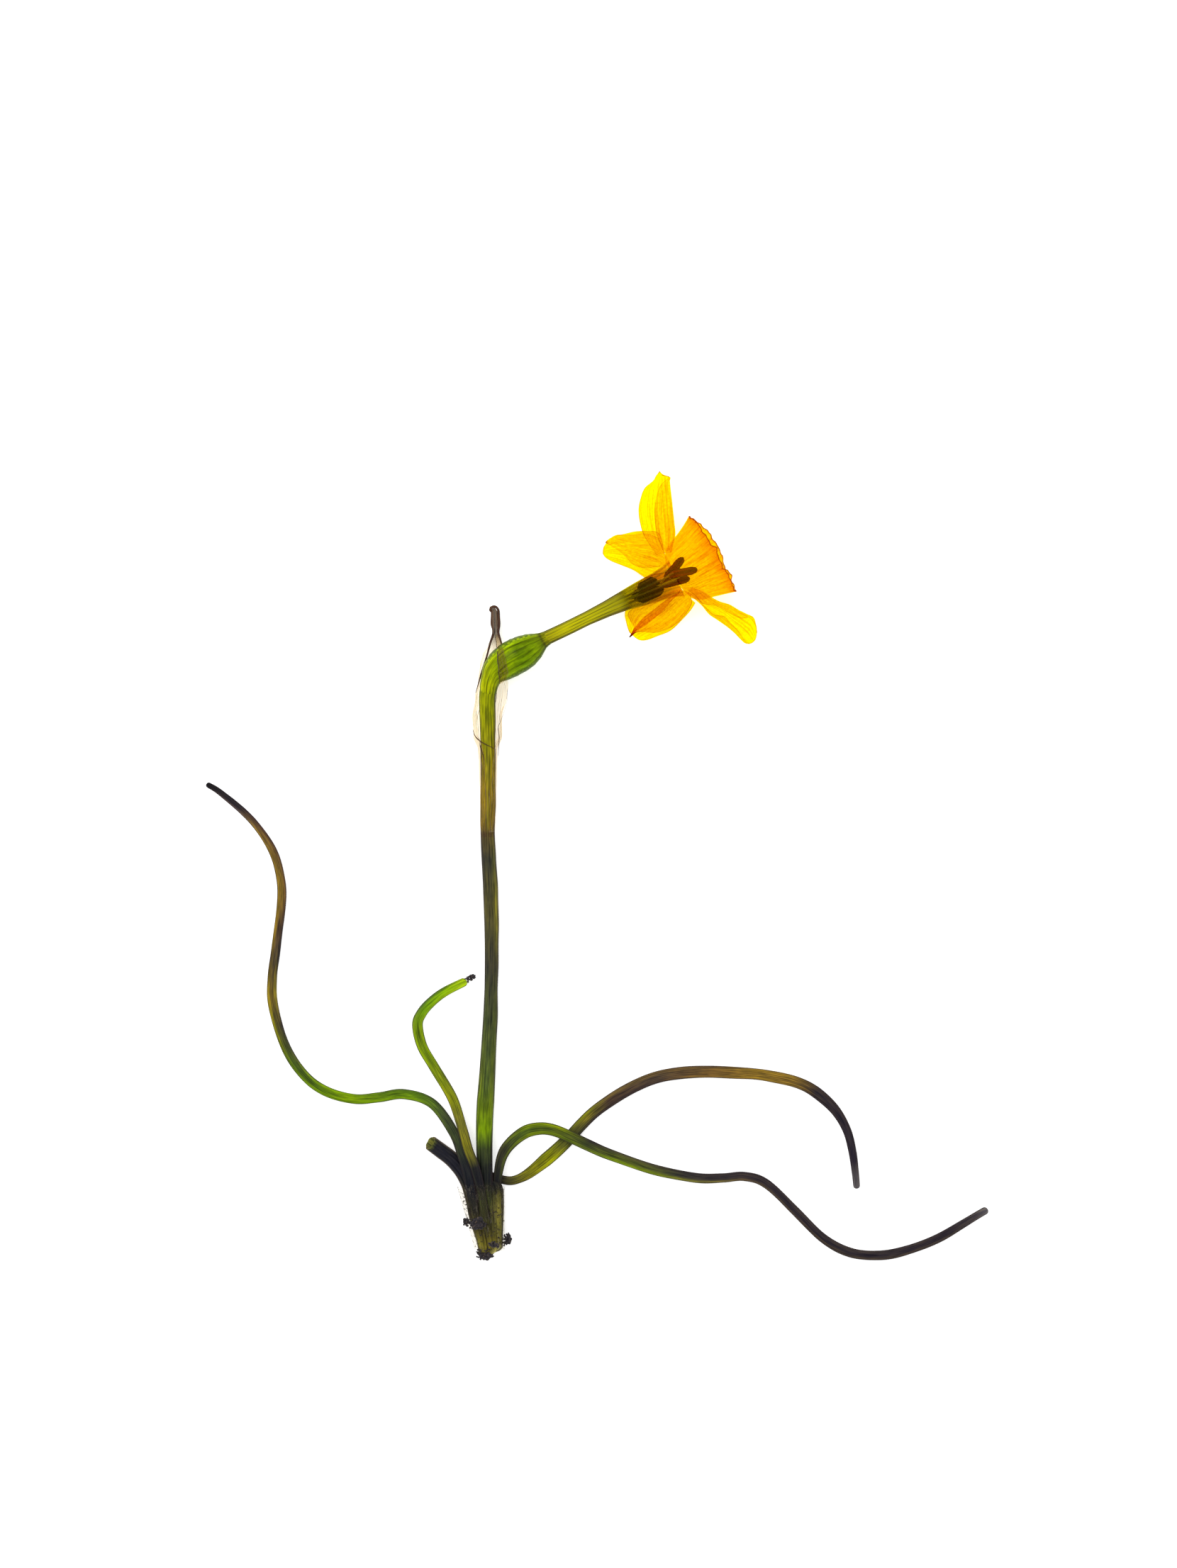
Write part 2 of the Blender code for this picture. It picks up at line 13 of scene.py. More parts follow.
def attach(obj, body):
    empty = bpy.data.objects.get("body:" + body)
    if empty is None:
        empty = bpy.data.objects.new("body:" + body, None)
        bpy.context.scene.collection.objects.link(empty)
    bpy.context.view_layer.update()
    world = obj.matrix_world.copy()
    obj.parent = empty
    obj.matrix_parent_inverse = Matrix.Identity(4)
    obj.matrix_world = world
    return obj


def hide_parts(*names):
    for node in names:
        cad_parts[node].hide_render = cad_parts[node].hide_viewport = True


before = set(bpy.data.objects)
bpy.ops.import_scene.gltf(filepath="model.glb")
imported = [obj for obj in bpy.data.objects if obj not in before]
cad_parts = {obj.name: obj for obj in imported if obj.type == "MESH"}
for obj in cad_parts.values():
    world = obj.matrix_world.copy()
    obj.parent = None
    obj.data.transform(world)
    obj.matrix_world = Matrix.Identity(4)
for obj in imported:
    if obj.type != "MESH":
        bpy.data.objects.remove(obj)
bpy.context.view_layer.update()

# ---- flower stalk ----
# The leafless stalk that carries the flower: soft green tissue with fine lengthwise ribs.
# It grows in one piece from the bulb, is torn off at the foot, and bends into the seed
# capsule at its top. It dries olive where the papery bract wraps it. Just above the sheath it
# is painted near-black, as shade where the upper right leaf crosses under it.
MM = 0.001
LAYOUT_TO_FRAME = Vector((0.04, 0.07, 0.11))  # from the plant's own layout to the frame


def spline(points, share):
    """The point at this share of the way along a smooth curve through the given points."""
    place = min(max(share, 0.0), 1.0) * (len(points) - 1)
    k = min(int(place), len(points) - 2)
    t = place - k
    start, stop = points[k], points[k + 1]
    before = points[k - 1] if k else 2 * start - stop
    after = points[k + 2] if k + 2 < len(points) else 2 * stop - start
    square = 2 * before - 5 * start + 4 * stop - after
    cube = 3 * start - before - 3 * stop + after
    return (2 * start + (stop - before) * t + square * t**2 + cube * t**3) / 2


def points_at(route, shares):
    """Points at the given shares of the length of the smooth curve through route."""
    given = [Vector(p) for p in route]
    fine = [spline(given, n / 600) for n in range(601)]
    travelled = [0.0]
    for a, b in zip(fine, fine[1:]):
        travelled.append(travelled[-1] + (b - a).length)
    found, j = [], 0
    for share in shares:
        wanted = travelled[-1] * share
        while j < len(fine) - 2 and travelled[j + 1] < wanted:
            j += 1
        part = (wanted - travelled[j]) / (travelled[j + 1] - travelled[j])
        found.append(fine[j].lerp(fine[j + 1], min(part, 1.0)))
    return found, travelled[-1]


def value_at(pairs, at):
    """Straight-line interpolation through (place, value) pairs."""
    for (from_at, from_value), (to_at, to_value) in zip(pairs, pairs[1:]):
        if at <= to_at:
            share = max(0.0, at - from_at) / (to_at - from_at)
            return from_value + (to_value - from_value) * share
    return pairs[-1][1]


def add_sheet(name, across, along):
    """A flat grid with its own UV map, across wide and along long, to be laid in place."""
    bpy.ops.object.select_all(action="DESELECT")
    bpy.ops.mesh.primitive_grid_add(
        x_subdivisions=across, y_subdivisions=along, size=1, calc_uvs=True
    )
    sheet = bpy.context.object
    sheet.name = sheet.data.name = name
    return sheet


def close_up(piece, wall=0.0):
    """Joins seams and poles, turns the faces outwards and gives a shell its thickness."""
    bpy.ops.object.mode_set(mode="EDIT")
    bpy.ops.mesh.select_all(action="SELECT")
    bpy.ops.mesh.remove_doubles(threshold=1e-6)
    bpy.ops.mesh.normals_make_consistent(inside=False)
    bpy.ops.object.mode_set(mode="OBJECT")
    if wall:
        skin = piece.modifiers.new("thickness", "SOLIDIFY")
        skin.thickness = wall * MM
        skin.offset = 0
        bpy.ops.object.modifier_apply(modifier=skin.name)
    piece.data.shade_smooth()


def angle_of(vert):
    """How far round a rolled sheet a corner lies. The seam's two sides share one angle."""
    return 0.0 if abs(vert.co.x - 0.5) < 1e-6 else math.tau * (vert.co.x + 0.5)


def round_stem(angle):
    return math.cos(angle), math.sin(angle)


def axes_at(points, k):
    """The forward, side and up directions of the curve through points at point k."""
    tangent = (points[min(k + 1, len(points) - 1)] - points[max(k - 1, 0)]).normalized()
    side = tangent.cross(Vector((0, 0, 1))).normalized()
    return tangent, side, side.cross(tangent)


def lay_strand(name, route, half_widths, depth, section, ribs, around=36, along=230):
    """A sheet rolled up and laid along route as a stem or a leaf, with rounded closed ends."""
    piece = add_sheet(name, around, along)
    close_rows = [0.0, 0.0006, 0.0018, 0.0035, 0.006]
    middle = along + 1 - 2 * len(close_rows)
    shares = (
        close_rows
        + [0.01 + 0.98 * k / (middle - 1) for k in range(middle)]
        + [1 - s for s in reversed(close_rows)]
    )
    points, length = points_at(route, shares)
    rings = []
    for k, (point, share) in enumerate(zip(points, shares)):
        _, side, up = axes_at(points, k)
        half = value_at(half_widths, share)
        from_end = min(share, 1 - share) * length / (0.9 * half)
        rounded = math.sqrt(max(0.0, 1 - (1 - min(from_end, 1.0)) ** 2))
        wander = noise.noise(Vector((share * length / 9, len(name), 0)))
        half *= rounded * (1 + 0.07 * wander)
        rings.append((point + side * 0.12 * wander + LAYOUT_TO_FRAME, side, up, half))
    for vert in piece.data.vertices:
        angle = angle_of(vert)
        point, side, up, half = rings[round((vert.co.y + 0.5) * along)]
        x, y = section(angle)
        groove = 1 + 0.035 * math.cos(ribs * angle)
        vert.co = (point + (side * x + up * y * depth) * half * groove) * MM
    for loop in piece.data.uv_layers[0].data:
        loop.uv.y = shares[round(loop.uv.y * along)]
    close_up(piece)
    return piece


def paint(red, green, blue):
    """A colour given as 0 to 255 per channel, in the linear values that shaders take."""
    shares = [c / 255 for c in (red, green, blue)]
    linear = [((c + 0.055) / 1.055) ** 2.4 if c > 0.04 else c / 12.92 for c in shares]
    return (*linear, 1)


def start_finish(name):
    """A new node material, as (material, its tree, its main shader)."""
    finish = bpy.data.materials.new(name)
    finish.use_nodes = True
    return finish, finish.node_tree, finish.node_tree.nodes["Principled BSDF"]


def node(tree, kind, inputs=(), **settings):
    """Adds a shader node; inputs are values or sockets, in order or by name."""
    made = tree.nodes.new("ShaderNode" + kind)
    for key, value in settings.items():
        setattr(made, key, value)
    pairs = inputs.items() if isinstance(inputs, dict) else enumerate(inputs)
    for key, value in pairs:
        if isinstance(value, bpy.types.NodeSocket):
            tree.links.new(value, made.inputs[key])
        elif value is not None:
            made.inputs[key].default_value = value
    return made


def calc(tree, operation, *values):
    return node(tree, "Math", values, operation=operation).outputs[0]


def times(tree, first, second):
    return calc(tree, "MULTIPLY", first, second)


def larger(tree, first, second):
    return calc(tree, "MAXIMUM", first, second)


def fade(tree, value, start, stop, low=0.0, high=1.0):
    """low where value is at start or before, high at stop or beyond, and smooth between."""
    made = node(tree, "MapRange", [value, start, stop, low, high])
    made.interpolation_type = "SMOOTHSTEP"
    return made.outputs[0]


def ramp(tree, value, stops):
    """Colours from (place, colour) stops."""
    made = node(tree, "ValToRGB", [value])
    elements = made.color_ramp.elements
    elements[0].position, elements[0].color = stops[0]
    elements[1].position, elements[1].color = stops[-1]
    for place, colour in stops[1:-1]:
        elements.new(place).color = colour
    return made.outputs[0]


def mix(tree, share, first, second, how="MIX"):
    made = node(tree, "Mix", {0: share, 6: first, 7: second}, data_type="RGBA")
    made.blend_type = how
    return made.outputs[2]


def shade(tree, colour, value, stops):
    """Darkens or lightens colour by grey (place, red, green, blue) stops along value."""
    shades = ramp(tree, value, [(place, (*channels, 1)) for place, *channels in stops])
    return mix(tree, 1.0, colour, shades, "MULTIPLY")


def roughen(tree, shader, height, depth, strength):
    """A small bump on the shader's surface, depth in metres. Gives back its normal."""
    bump = node(tree, "Bump", {"Height": height, "Distance": depth, "Strength": strength})
    tree.links.new(bump.outputs[0], shader.inputs["Normal"])
    return bump.outputs[0]


def own_places(tree):
    """From the UV map: (share across, share along, rightness, height) on a rolled sheet."""
    split = node(tree, "SeparateXYZ", [node(tree, "UVMap").outputs[0]])
    angle = times(tree, split.outputs[0], math.tau)
    return (
        split.outputs[0],
        split.outputs[1],
        calc(tree, "COSINE", angle),
        calc(tree, "SINE", angle),
    )


def noise_at(tree, x, y, z, detail, distortion=0.0):
    """Noise of cell size 1 at a place built from three numbers or sockets."""
    place = node(tree, "CombineXYZ", [x, y, z]).outputs[0]
    settings = {"Vector": place, "Scale": 1.0, "Detail": detail, "Distortion": distortion}
    return node(tree, "TexNoise", settings).outputs[0]


def streaks(tree, places, around, along, detail=3.0):
    """Noise drawn out along a rolled piece: around cells on its radius, along on its length."""
    _, share, right, height = places
    x, y, z = times(tree, right, around), times(tree, height, around), times(tree, share, along)
    return noise_at(tree, x, y, z, detail)


def finish_strand(name, bands, rim, ribs, length, roughness=0.42, line=0.42):
    """A plant's skin: bands of (share along, left, middle, right colour), lengthwise ribs and
    streaks, and painted shade: a thin dark rim along both sides, where the skin turns away."""
    finish, tree, shader = start_finish(name)
    places = own_places(tree)
    share, right = places[1], places[2]
    left_half, middle, right_half = (
        ramp(tree, share, [(row[0], paint(*row[n])) for row in bands]) for n in (1, 2, 3)
    )
    colour = mix(tree, fade(tree, right, -0.8, -0.15), left_half, middle)
    colour = mix(tree, fade(tree, right, 0.15, 0.8), colour, right_half)
    fine = streaks(tree, places, 5.0, length / 7, 4.0)
    colour = shade(tree, colour, fine, [(0.3, 0.5, 0.5, 0.56), (0.5, 1, 1, 1), (0.7, 1.5, 1.45, 1)])
    dashes = streaks(tree, places, 13.0, length / 3.5)
    dash_shades = [(0.34, 0.72, 0.72, 0.76), (0.5, 1, 1, 1), (0.68, 1.16, 1.14, 0.95)]
    colour = shade(tree, colour, dashes, dash_shades)
    broad = streaks(tree, places, 1.6, length / 3, 2.0)
    colour = shade(tree, colour, broad, [(0.35, 0.82, 0.84, 0.9), (0.65, 1.15, 1.12, 1.05)])
    grooves = calc(tree, "COSINE", times(tree, places[0], math.tau * ribs))
    lines = fade(tree, grooves, -0.35, -0.95)
    shown = times(tree, lines, fade(tree, fine, 0.62, 0.4, 0.15, line * 1.6))
    in_groove = mix(tree, 1.0, colour, (0.3, 0.26, 0.3, 1), "MULTIPLY")
    colour = mix(tree, shown, colour, in_groove)
    # Painted shade: towards both sides of the strand the colour goes over to the dark rim colour.
    edge = fade(tree, calc(tree, "ABSOLUTE", right), 0.8, 0.975)
    ragged = times(tree, edge, fade(tree, fine, 0.65, 0.4, 0.45, 0.9))
    colour = mix(tree, ragged, colour, paint(*rim))
    tree.links.new(colour, shader.inputs["Base Color"])
    relief = calc(tree, "ADD", times(tree, fine, 0.8), times(tree, grooves, 0.15))
    roughen(tree, shader, relief, 0.00012, 0.6)
    dullness = fade(tree, fine, 0.3, 0.7, roughness - 0.08, roughness + 0.12)
    tree.links.new(dullness, shader.inputs["Roughness"])
    shader.inputs["Specular IOR Level"].default_value = 0.04
    return finish


def settle(piece, finish, node_name):
    """Gives the piece its finish and sets it on the plant, in place of a CAD solid if any."""
    piece.data.materials.clear()
    piece.data.materials.append(finish)
    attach(piece, "root")
    if node_name:
        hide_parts(node_name)


# Painted shade along the sides of stalk and leaves: the rim colour of their skins.
PAINTED_EDGE_SHADE = (52, 42, 46)
stalk_route = [
    (-26.9, -96.6, 3.0), (-27.5, -90, 3.3), (-28.3, -82, 3.75), (-28.6, -74, 3.4),
    (-28.6, -64, 2.5), (-27.9, -52, 2.1), (-27.1, -36, 2.0), (-26.8, -20, 2.0),
    (-27.1, -6, 2.2), (-27.8, 8, 2.75), (-27.7, 22, 3.4), (-27.75, 34, 4.0),
    (-27.85, 42, 4.5), (-27.5, 46.2, 4.8),
]
stalk_half_widths = [
    (0, 0.95), (0.045, 1.45), (0.1, 1.85), (0.18, 2.0), (0.26, 2.15), (0.32, 1.95),
    (0.46, 1.65), (0.62, 1.85), (0.69, 1.8), (0.725, 1.76), (0.8, 1.82), (0.9, 1.85), (1, 2.15),
]
stalk_bands = [
    (0.0, (88, 94, 35), (88, 94, 35), (80, 84, 35)),
    (0.04, (84, 92, 35), (92, 98, 35), (76, 84, 38)),
    (0.08, (68, 75, 42), (70, 78, 42), (60, 66, 42)),
    # Painted shade: near-black just above the sheath, where the upper right leaf crosses under the
    # stalk.
    (0.12, (33, 34, 38), (36, 38, 38), (33, 34, 38)),
    (0.145, (36, 38, 38), (40, 44, 38), (34, 36, 38)),
    (0.175, (62, 74, 36), (58, 68, 38), (60, 72, 36)),
    (0.21, (112, 142, 12), (120, 152, 6), (108, 138, 12)),
    (0.25, (98, 120, 22), (92, 112, 22), (104, 124, 20)),
    (0.29, (98, 112, 35), (78, 95, 43), (102, 116, 35)),
    (0.375, (80, 92, 44), (70, 80, 45), (84, 94, 44)),
    (0.5, (62, 62, 50), (60, 58, 50), (66, 64, 48)),
    (0.6, (88, 84, 45), (84, 80, 46), (122, 117, 43)),
    (0.69, (60, 58, 48), (58, 58, 49), (90, 90, 50)),
    (0.735, (84, 72, 42), (92, 80, 44), (100, 90, 44)),
    (0.755, (131, 116, 38), (128, 116, 38), (124, 110, 40)),
    (0.81, (145, 130, 35), (140, 126, 36), (142, 128, 35)),
    (0.92, (142, 144, 10), (136, 138, 12), (136, 136, 12)),
    (0.97, (156, 164, 4), (136, 144, 6), (124, 132, 6)),
    (1.0, (160, 170, 4), (138, 148, 4), (120, 128, 6)),
]
stalk = lay_strand("flower_stalk", stalk_route, stalk_half_widths, 0.92, round_stem, 16, around=48)
stalk_skin = finish_strand("stalk_skin", stalk_bands, PAINTED_EDGE_SHADE, 16, 145)
settle(stalk, stalk_skin, "scape")

# ---- cut stub of a second stalk ----
# A second flower stalk, cut off short when the first was picked. It is the same ribbed green
# tissue, gone dark as it dried, and its cut end shows the hollow pith inside.
stub_route = [
    (-29.1, -96.6, 2.9), (-30.6, -90, 3.05), (-32.2, -82, 3.55), (-33.3, -79, 3.5),
    (-34.8, -76.4, 3.3), (-37, -74, 3.0), (-39.8, -71.9, 2.6), (-42.7, -69.8, 2.2),
]
stub_half_widths = [(0, 1.0), (0.2, 1.35), (0.45, 1.75), (0.7, 1.95), (1, 1.85)]
stub_bands = [
    (0.0, (66, 66, 38), (72, 70, 38), (60, 60, 38)),
    (0.3, (64, 66, 40), (60, 62, 40), (52, 54, 40)),
    (0.5, (52, 50, 42), (46, 48, 42), (40, 42, 42)),
    (0.62, (34, 34, 42), (34, 34, 44), (32, 32, 42)),
    (0.93, (34, 34, 42), (32, 32, 42), (38, 38, 42)),
    (0.97, (70, 72, 42), (84, 88, 44), (64, 66, 44)),
    (1.0, (120, 120, 60), (110, 112, 52), (96, 98, 50)),
]
bore_half, bore_depth, stub_ribs = 1.45, 4.0, 14
stub_around, stub_rows, outer_rows, slanted_rows = 44, 120, 96, 30
stub = add_sheet("cut_stub", stub_around, stub_rows)
stub_shares = [min(1.0, k / outer_rows) for k in range(outer_rows + 1)]
stub_points, stub_length = points_at(stub_route, stub_shares)
for vert in stub.data.vertices:
    k = round((vert.co.y + 0.5) * stub_rows)
    angle = angle_of(vert)
    at = min(k, outer_rows)
    tangent, side, up = axes_at(stub_points, at)
    half = value_at(stub_half_widths, stub_shares[at])
    from_foot = stub_shares[at] * stub_length / half
    half *= math.sqrt(max(0.0, 1 - (1 - min(from_foot, 1.0)) ** 2))
    half *= 1 + 0.03 * math.cos(stub_ribs * angle)
    point = stub_points[at].copy()
    jag = 0.3 * noise.noise(Vector((math.cos(angle) * 1.6, math.sin(angle) * 1.6, 3.0)))
    slant = 0.85 * (math.sin(angle) + 0.5)  # the knife left the upper side shorter
    if at > outer_rows - slanted_rows:
        point += tangent * (jag - slant) * ((at - outer_rows + slanted_rows) / slanted_rows) ** 2
    if k > outer_rows:  # over the lip and down into the bore
        inward = (k - outer_rows) / (stub_rows - outer_rows)
        lip = min(1.0, inward * 5)
        half = half + (bore_half - half) * math.sin(lip * math.pi / 2)
        half *= 1.0 if inward < 0.85 else math.sqrt(max(0.0, 1 - ((inward - 0.85) / 0.15) ** 2))
        point -= tangent * bore_depth * max(0.0, inward - 0.1) / 0.9
    out = side * math.cos(angle) + up * math.sin(angle) * 0.85
    vert.co = (point + LAYOUT_TO_FRAME + out * half) * MM
for loop in stub.data.uv_layers[0].data:
    k = round(loop.uv.y * stub_rows)
    loop.uv.y = 0.97 * k / outer_rows if k < outer_rows else 1.0
close_up(stub)
# The rim colour (96, 80, 66) is painted shade along the stub's sides.
stub_skin = finish_strand("stub_skin", stub_bands, (96, 80, 66), stub_ribs, 38)
settle(stub, stub_skin, "cut_stalk_stub")

# ---- leaves ----
# Four narrow rush-like leaves: fleshy, rounded beneath and shallowly channelled above, with
# fine parallel veins. They grow from the bulb beside the stalk and trail over the table,
# green near the foot and drying to gold-brown and near-black towards the tips. Just above the
# sheath they are painted near-black, as shade: there the upper right leaf crosses under the
# others, and itself lies under the sheath.


def channelled_leaf(angle):
    x, y = math.cos(angle), math.sin(angle)
    return (x, 0.3 * y - 0.16 * y**6) if y > 0 else (x, y)


leaf_depth = 0.55
leaf_shapes = {
    "leaf_long_left": {
        "route": [
            (-28.3, -95.4, 4.85), (-30.4, -90, 5.1), (-32, -82, 5.95), (-32.9, -77, 5.9),
            (-34.4, -72.4, 4.9), (-36.5, -67.3, 3.3), (-41.9, -60.1, 1.5), (-49.1, -57.8, 0.85),
            (-55.4, -58.6, 0.75), (-61.7, -59, 0.75), (-68.9, -57.1, 0.75), (-74.3, -53.1, 0.75),
            (-78.9, -46.3, 0.75), (-82.3, -35.5, 0.75), (-82.5, -28.3, 0.75), (-81.6, -21.1, 0.75),
            (-80.3, -10.3, 0.75), (-80.4, -3.1, 0.75), (-82.5, 4.1, 0.75), (-87.3, 11.3, 0.75),
            (-95.4, 18.5, 0.75), (-99.2, 21, 0.75),
        ],
        "half_widths": [(0, 0.85), (0.08, 1.15), (0.25, 1.25), (0.6, 1.2), (0.85, 1.05), (1, 0.7)],
        "length": 190,
        "bands": [
            (0.0, (128, 125, 40), (85, 77, 38), (85, 77, 38)),
            (0.03, (110, 108, 42), (84, 78, 38), (78, 74, 38)),
            (0.055, (58, 58, 44), (50, 50, 45), (50, 50, 45)),
            # Painted shade: near-black just above the sheath, where the upper right leaf crosses
            # under.
            (0.085, (34, 36, 42), (32, 34, 42), (32, 32, 42)),
            (0.13, (34, 36, 42), (34, 36, 42), (32, 34, 42)),
            (0.17, (58, 64, 44), (55, 65, 42), (50, 54, 44)),
            (0.22, (74, 90, 42), (66, 78, 45), (64, 74, 45)),
            (0.28, (118, 155, 8), (94, 129, 18), (85, 117, 27)),
            (0.33, (116, 152, 8), (94, 126, 18), (88, 118, 26)),
            (0.39, (112, 146, 5), (116, 148, 7), (127, 165, 4)),
            (0.44, (118, 155, 13), (72, 100, 22), (116, 150, 14)),
            (0.5, (96, 123, 26), (68, 85, 33), (86, 95, 49)),
            (0.56, (142, 138, 27), (81, 76, 42), (51, 46, 45)),
            (0.61, (155, 134, 38), (104, 88, 39), (150, 135, 43)),
            (0.67, (80, 66, 41), (84, 72, 51), (50, 48, 45)),
            (0.72, (154, 125, 39), (86, 66, 49), (65, 51, 45)),
            (0.78, (142, 114, 41), (127, 102, 40), (110, 82, 48)),
            (0.83, (138, 112, 44), (118, 94, 44), (100, 76, 50)),
            (0.89, (140, 113, 52), (111, 86, 52), (76, 53, 46)),
            (0.935, (84, 71, 75), (49, 44, 51), (49, 44, 51)),
            (1.0, (30, 27, 32), (24, 22, 28), (26, 24, 28)),
        ],
    },
    "leaf_short": {
        "route": [
            (-26.3, -95.4, 5.0), (-28, -90, 5.5), (-29.4, -82, 6.15), (-30.9, -76, 6.6),
            (-32.6, -71.5, 5.9), (-34, -66.9, 4.6), (-36.7, -58.9, 2.6), (-41.5, -50.8, 1.1),
            (-44.6, -45.4, 0.8), (-45.7, -40.2, 0.8), (-44.6, -37.2, 0.8), (-42.4, -34.6, 0.8),
            (-38.9, -31.9, 0.8), (-33.2, -29, 0.8),
        ],
        "half_widths": [(0, 0.8), (0.2, 1.1), (0.5, 1.25), (0.8, 1.3), (1, 1.05)],
        "length": 79,
        "bands": [
            (0.0, (72, 68, 42), (70, 66, 42), (66, 62, 42)),
            (0.14, (66, 72, 42), (60, 64, 42), (56, 58, 42)),
            # Painted shade: near-black just above the sheath, where the upper right leaf crosses
            # under.
            (0.2, (36, 38, 40), (34, 34, 40), (34, 34, 40)),
            (0.26, (40, 42, 40), (38, 38, 40), (36, 36, 40)),
            (0.3, (104, 100, 34), (96, 94, 34), (90, 88, 36)),
            (0.34, (130, 125, 28), (124, 120, 28), (122, 116, 32)),
            (0.42, (114, 112, 40), (110, 108, 40), (116, 114, 38)),
            (0.5, (138, 142, 20), (126, 133, 13), (133, 142, 28)),
            (0.58, (130, 148, 21), (116, 131, 21), (120, 137, 28)),
            (0.67, (145, 175, 15), (100, 125, 18), (140, 168, 16)),
            (0.75, (142, 172, 16), (96, 120, 20), (138, 166, 18)),
            (0.83, (80, 110, 45), (108, 153, 12), (124, 165, 20)),
            (0.92, (96, 132, 26), (127, 169, 9), (155, 190, 15)),
            (1.0, (178, 210, 19), (168, 200, 20), (178, 210, 24)),
        ],
    },
    "leaf_low_right": {
        "route": [
            (-25.2, -96, 3.1), (-24.95, -90, 3.1), (-25.35, -82, 3.3), (-25.25, -78.5, 3.3),
            (-24.1, -73.4, 3.1), (-22.1, -70.2, 2.8), (-18.5, -67.3, 2.5), (-14.9, -66.4, 2.3),
            (-11.3, -66.8, 2.2), (-6.8, -68.6, 2.15), (-2.5, -70.6, 1.8), (3.1, -73.1, 1.1),
            (13.9, -76.8, 0.8), (24.7, -79, 0.75), (31.9, -79.1, 0.75), (37.3, -78.7, 0.75),
            (42.7, -80.4, 0.75), (49.9, -87.2, 0.75), (57.1, -94.3, 0.75), (64.3, -98, 0.75),
            (71.5, -98.7, 0.75), (78.7, -97.4, 0.75), (85.9, -94.6, 0.75), (93.1, -90.5, 0.75),
            (99, -87, 0.75),
        ],
        "half_widths": [
            (0, 0.55), (0.04, 0.8), (0.1, 0.95), (0.15, 1.45), (0.2, 1.55), (0.4, 1.3),
            (0.6, 1.1), (0.85, 1.2), (1, 0.95),
        ],
        "length": 172,
        "bands": [
            (0.0, (61, 55, 42), (100, 92, 56), (180, 170, 95)),
            (0.05, (80, 76, 43), (100, 96, 56), (126, 122, 68)),
            # Painted shade: near-black just above the sheath, where the upper right leaf crosses
            # under.
            (0.1, (35, 35, 38), (35, 35, 38), (40, 40, 38)),
            (0.15, (66, 66, 45), (54, 55, 41), (92, 105, 40)),
            (0.2, (120, 142, 15), (77, 97, 29), (115, 133, 16)),
            (0.25, (122, 137, 9), (82, 94, 29), (106, 126, 20)),
            (0.3, (45, 43, 44), (62, 68, 40), (102, 116, 40)),
            (0.35, (82, 82, 50), (81, 90, 35), (125, 150, 20)),
            (0.41, (76, 74, 50), (72, 78, 40), (120, 138, 26)),
            (0.46, (53, 50, 50), (54, 51, 50), (112, 112, 47)),
            (0.55, (60, 52, 54), (54, 47, 52), (96, 81, 61)),
            (0.62, (62, 54, 56), (48, 42, 50), (72, 62, 56)),
            (0.8, (64, 56, 56), (48, 42, 50), (70, 60, 54)),
            (0.94, (58, 50, 56), (50, 44, 52), (66, 58, 56)),
            (0.98, (76, 70, 74), (70, 64, 70), (80, 74, 76)),
            (1.0, (110, 105, 110), (104, 100, 104), (110, 105, 108)),
        ],
    },
    "leaf_high_right": {
        "route": [
            (-29.7, -91, 1.15), (-30.6, -86, 1.3), (-31.5, -81.8, 1.35), (-31.4, -78.6, 1.2),
            (-29.3, -77.7, 1.1), (-26.8, -78.6, 1.0), (-23.6, -79.6, 0.9), (-21.1, -79.6, 0.85),
            (-17.6, -78, 0.85), (-13.1, -74.5, 0.85), (-7.7, -69.5, 0.8), (-4.1, -65.5, 0.8),
            (0, -61.7, 0.8), (6.7, -57.2, 0.8), (13.9, -53.9, 0.8), (21.1, -52.4, 0.8),
            (28.3, -52.1, 0.8), (35.5, -52.4, 0.8), (42.7, -53.1, 0.8), (49.9, -54.6, 0.8),
            (55.3, -57.2, 0.8), (60.1, -61.6, 0.8), (63.2, -67, 0.8), (64.7, -72.4, 0.8),
            (65.4, -77.8, 0.8), (65.8, -81.8, 0.8),
        ],
        "half_widths": [
            (0, 1.15), (0.08, 1.2), (0.12, 1.0), (0.18, 1.1), (0.24, 1.75), (0.32, 1.5),
            (0.5, 1.5), (0.8, 1.4), (0.92, 1.0), (1, 0.8),
        ],
        "length": 158,
        "bands": [
            # Painted shade: near-black at the foot, where this leaf lies under the sheath and the
            # others.
            (0.0, (46, 44, 42), (42, 40, 40), (40, 38, 40)),
            (0.1, (48, 46, 42), (42, 40, 40), (40, 38, 40)),
            (0.15, (72, 68, 56), (60, 58, 46), (48, 45, 39)),
            (0.2, (133, 131, 27), (115, 112, 27), (130, 124, 27)),
            (0.25, (119, 126, 18), (128, 129, 14), (175, 180, 5)),
            (0.3, (72, 76, 42), (68, 72, 43), (70, 74, 42)),
            (0.35, (134, 136, 18), (112, 104, 34), (64, 57, 45)),
            (0.4, (110, 92, 54), (71, 55, 46), (60, 48, 47)),
            (0.5, (106, 86, 52), (80, 66, 54), (66, 54, 50)),
            (0.6, (108, 85, 52), (112, 85, 46), (129, 99, 49)),
            (0.68, (148, 118, 40), (136, 108, 42), (148, 118, 40)),
            (0.75, (140, 112, 44), (126, 100, 44), (136, 108, 44)),
            (0.8, (60, 50, 50), (50, 44, 50), (56, 48, 50)),
            (0.95, (48, 42, 52), (46, 40, 52), (46, 40, 52)),
            (1.0, (110, 104, 108), (100, 96, 100), (104, 100, 104)),
        ],
    },
}
leaf_ribs = 18
for node_name, shape in leaf_shapes.items():
    piece_name = node_name.replace("leaf_", "") + "_leaf"
    leaf = lay_strand(
        piece_name, shape["route"], shape["half_widths"], leaf_depth, channelled_leaf, leaf_ribs
    )
    skin = finish_strand(
        piece_name + "_skin", shape["bands"], PAINTED_EDGE_SHADE, leaf_ribs, shape["length"]
    )
    settle(leaf, skin, node_name)
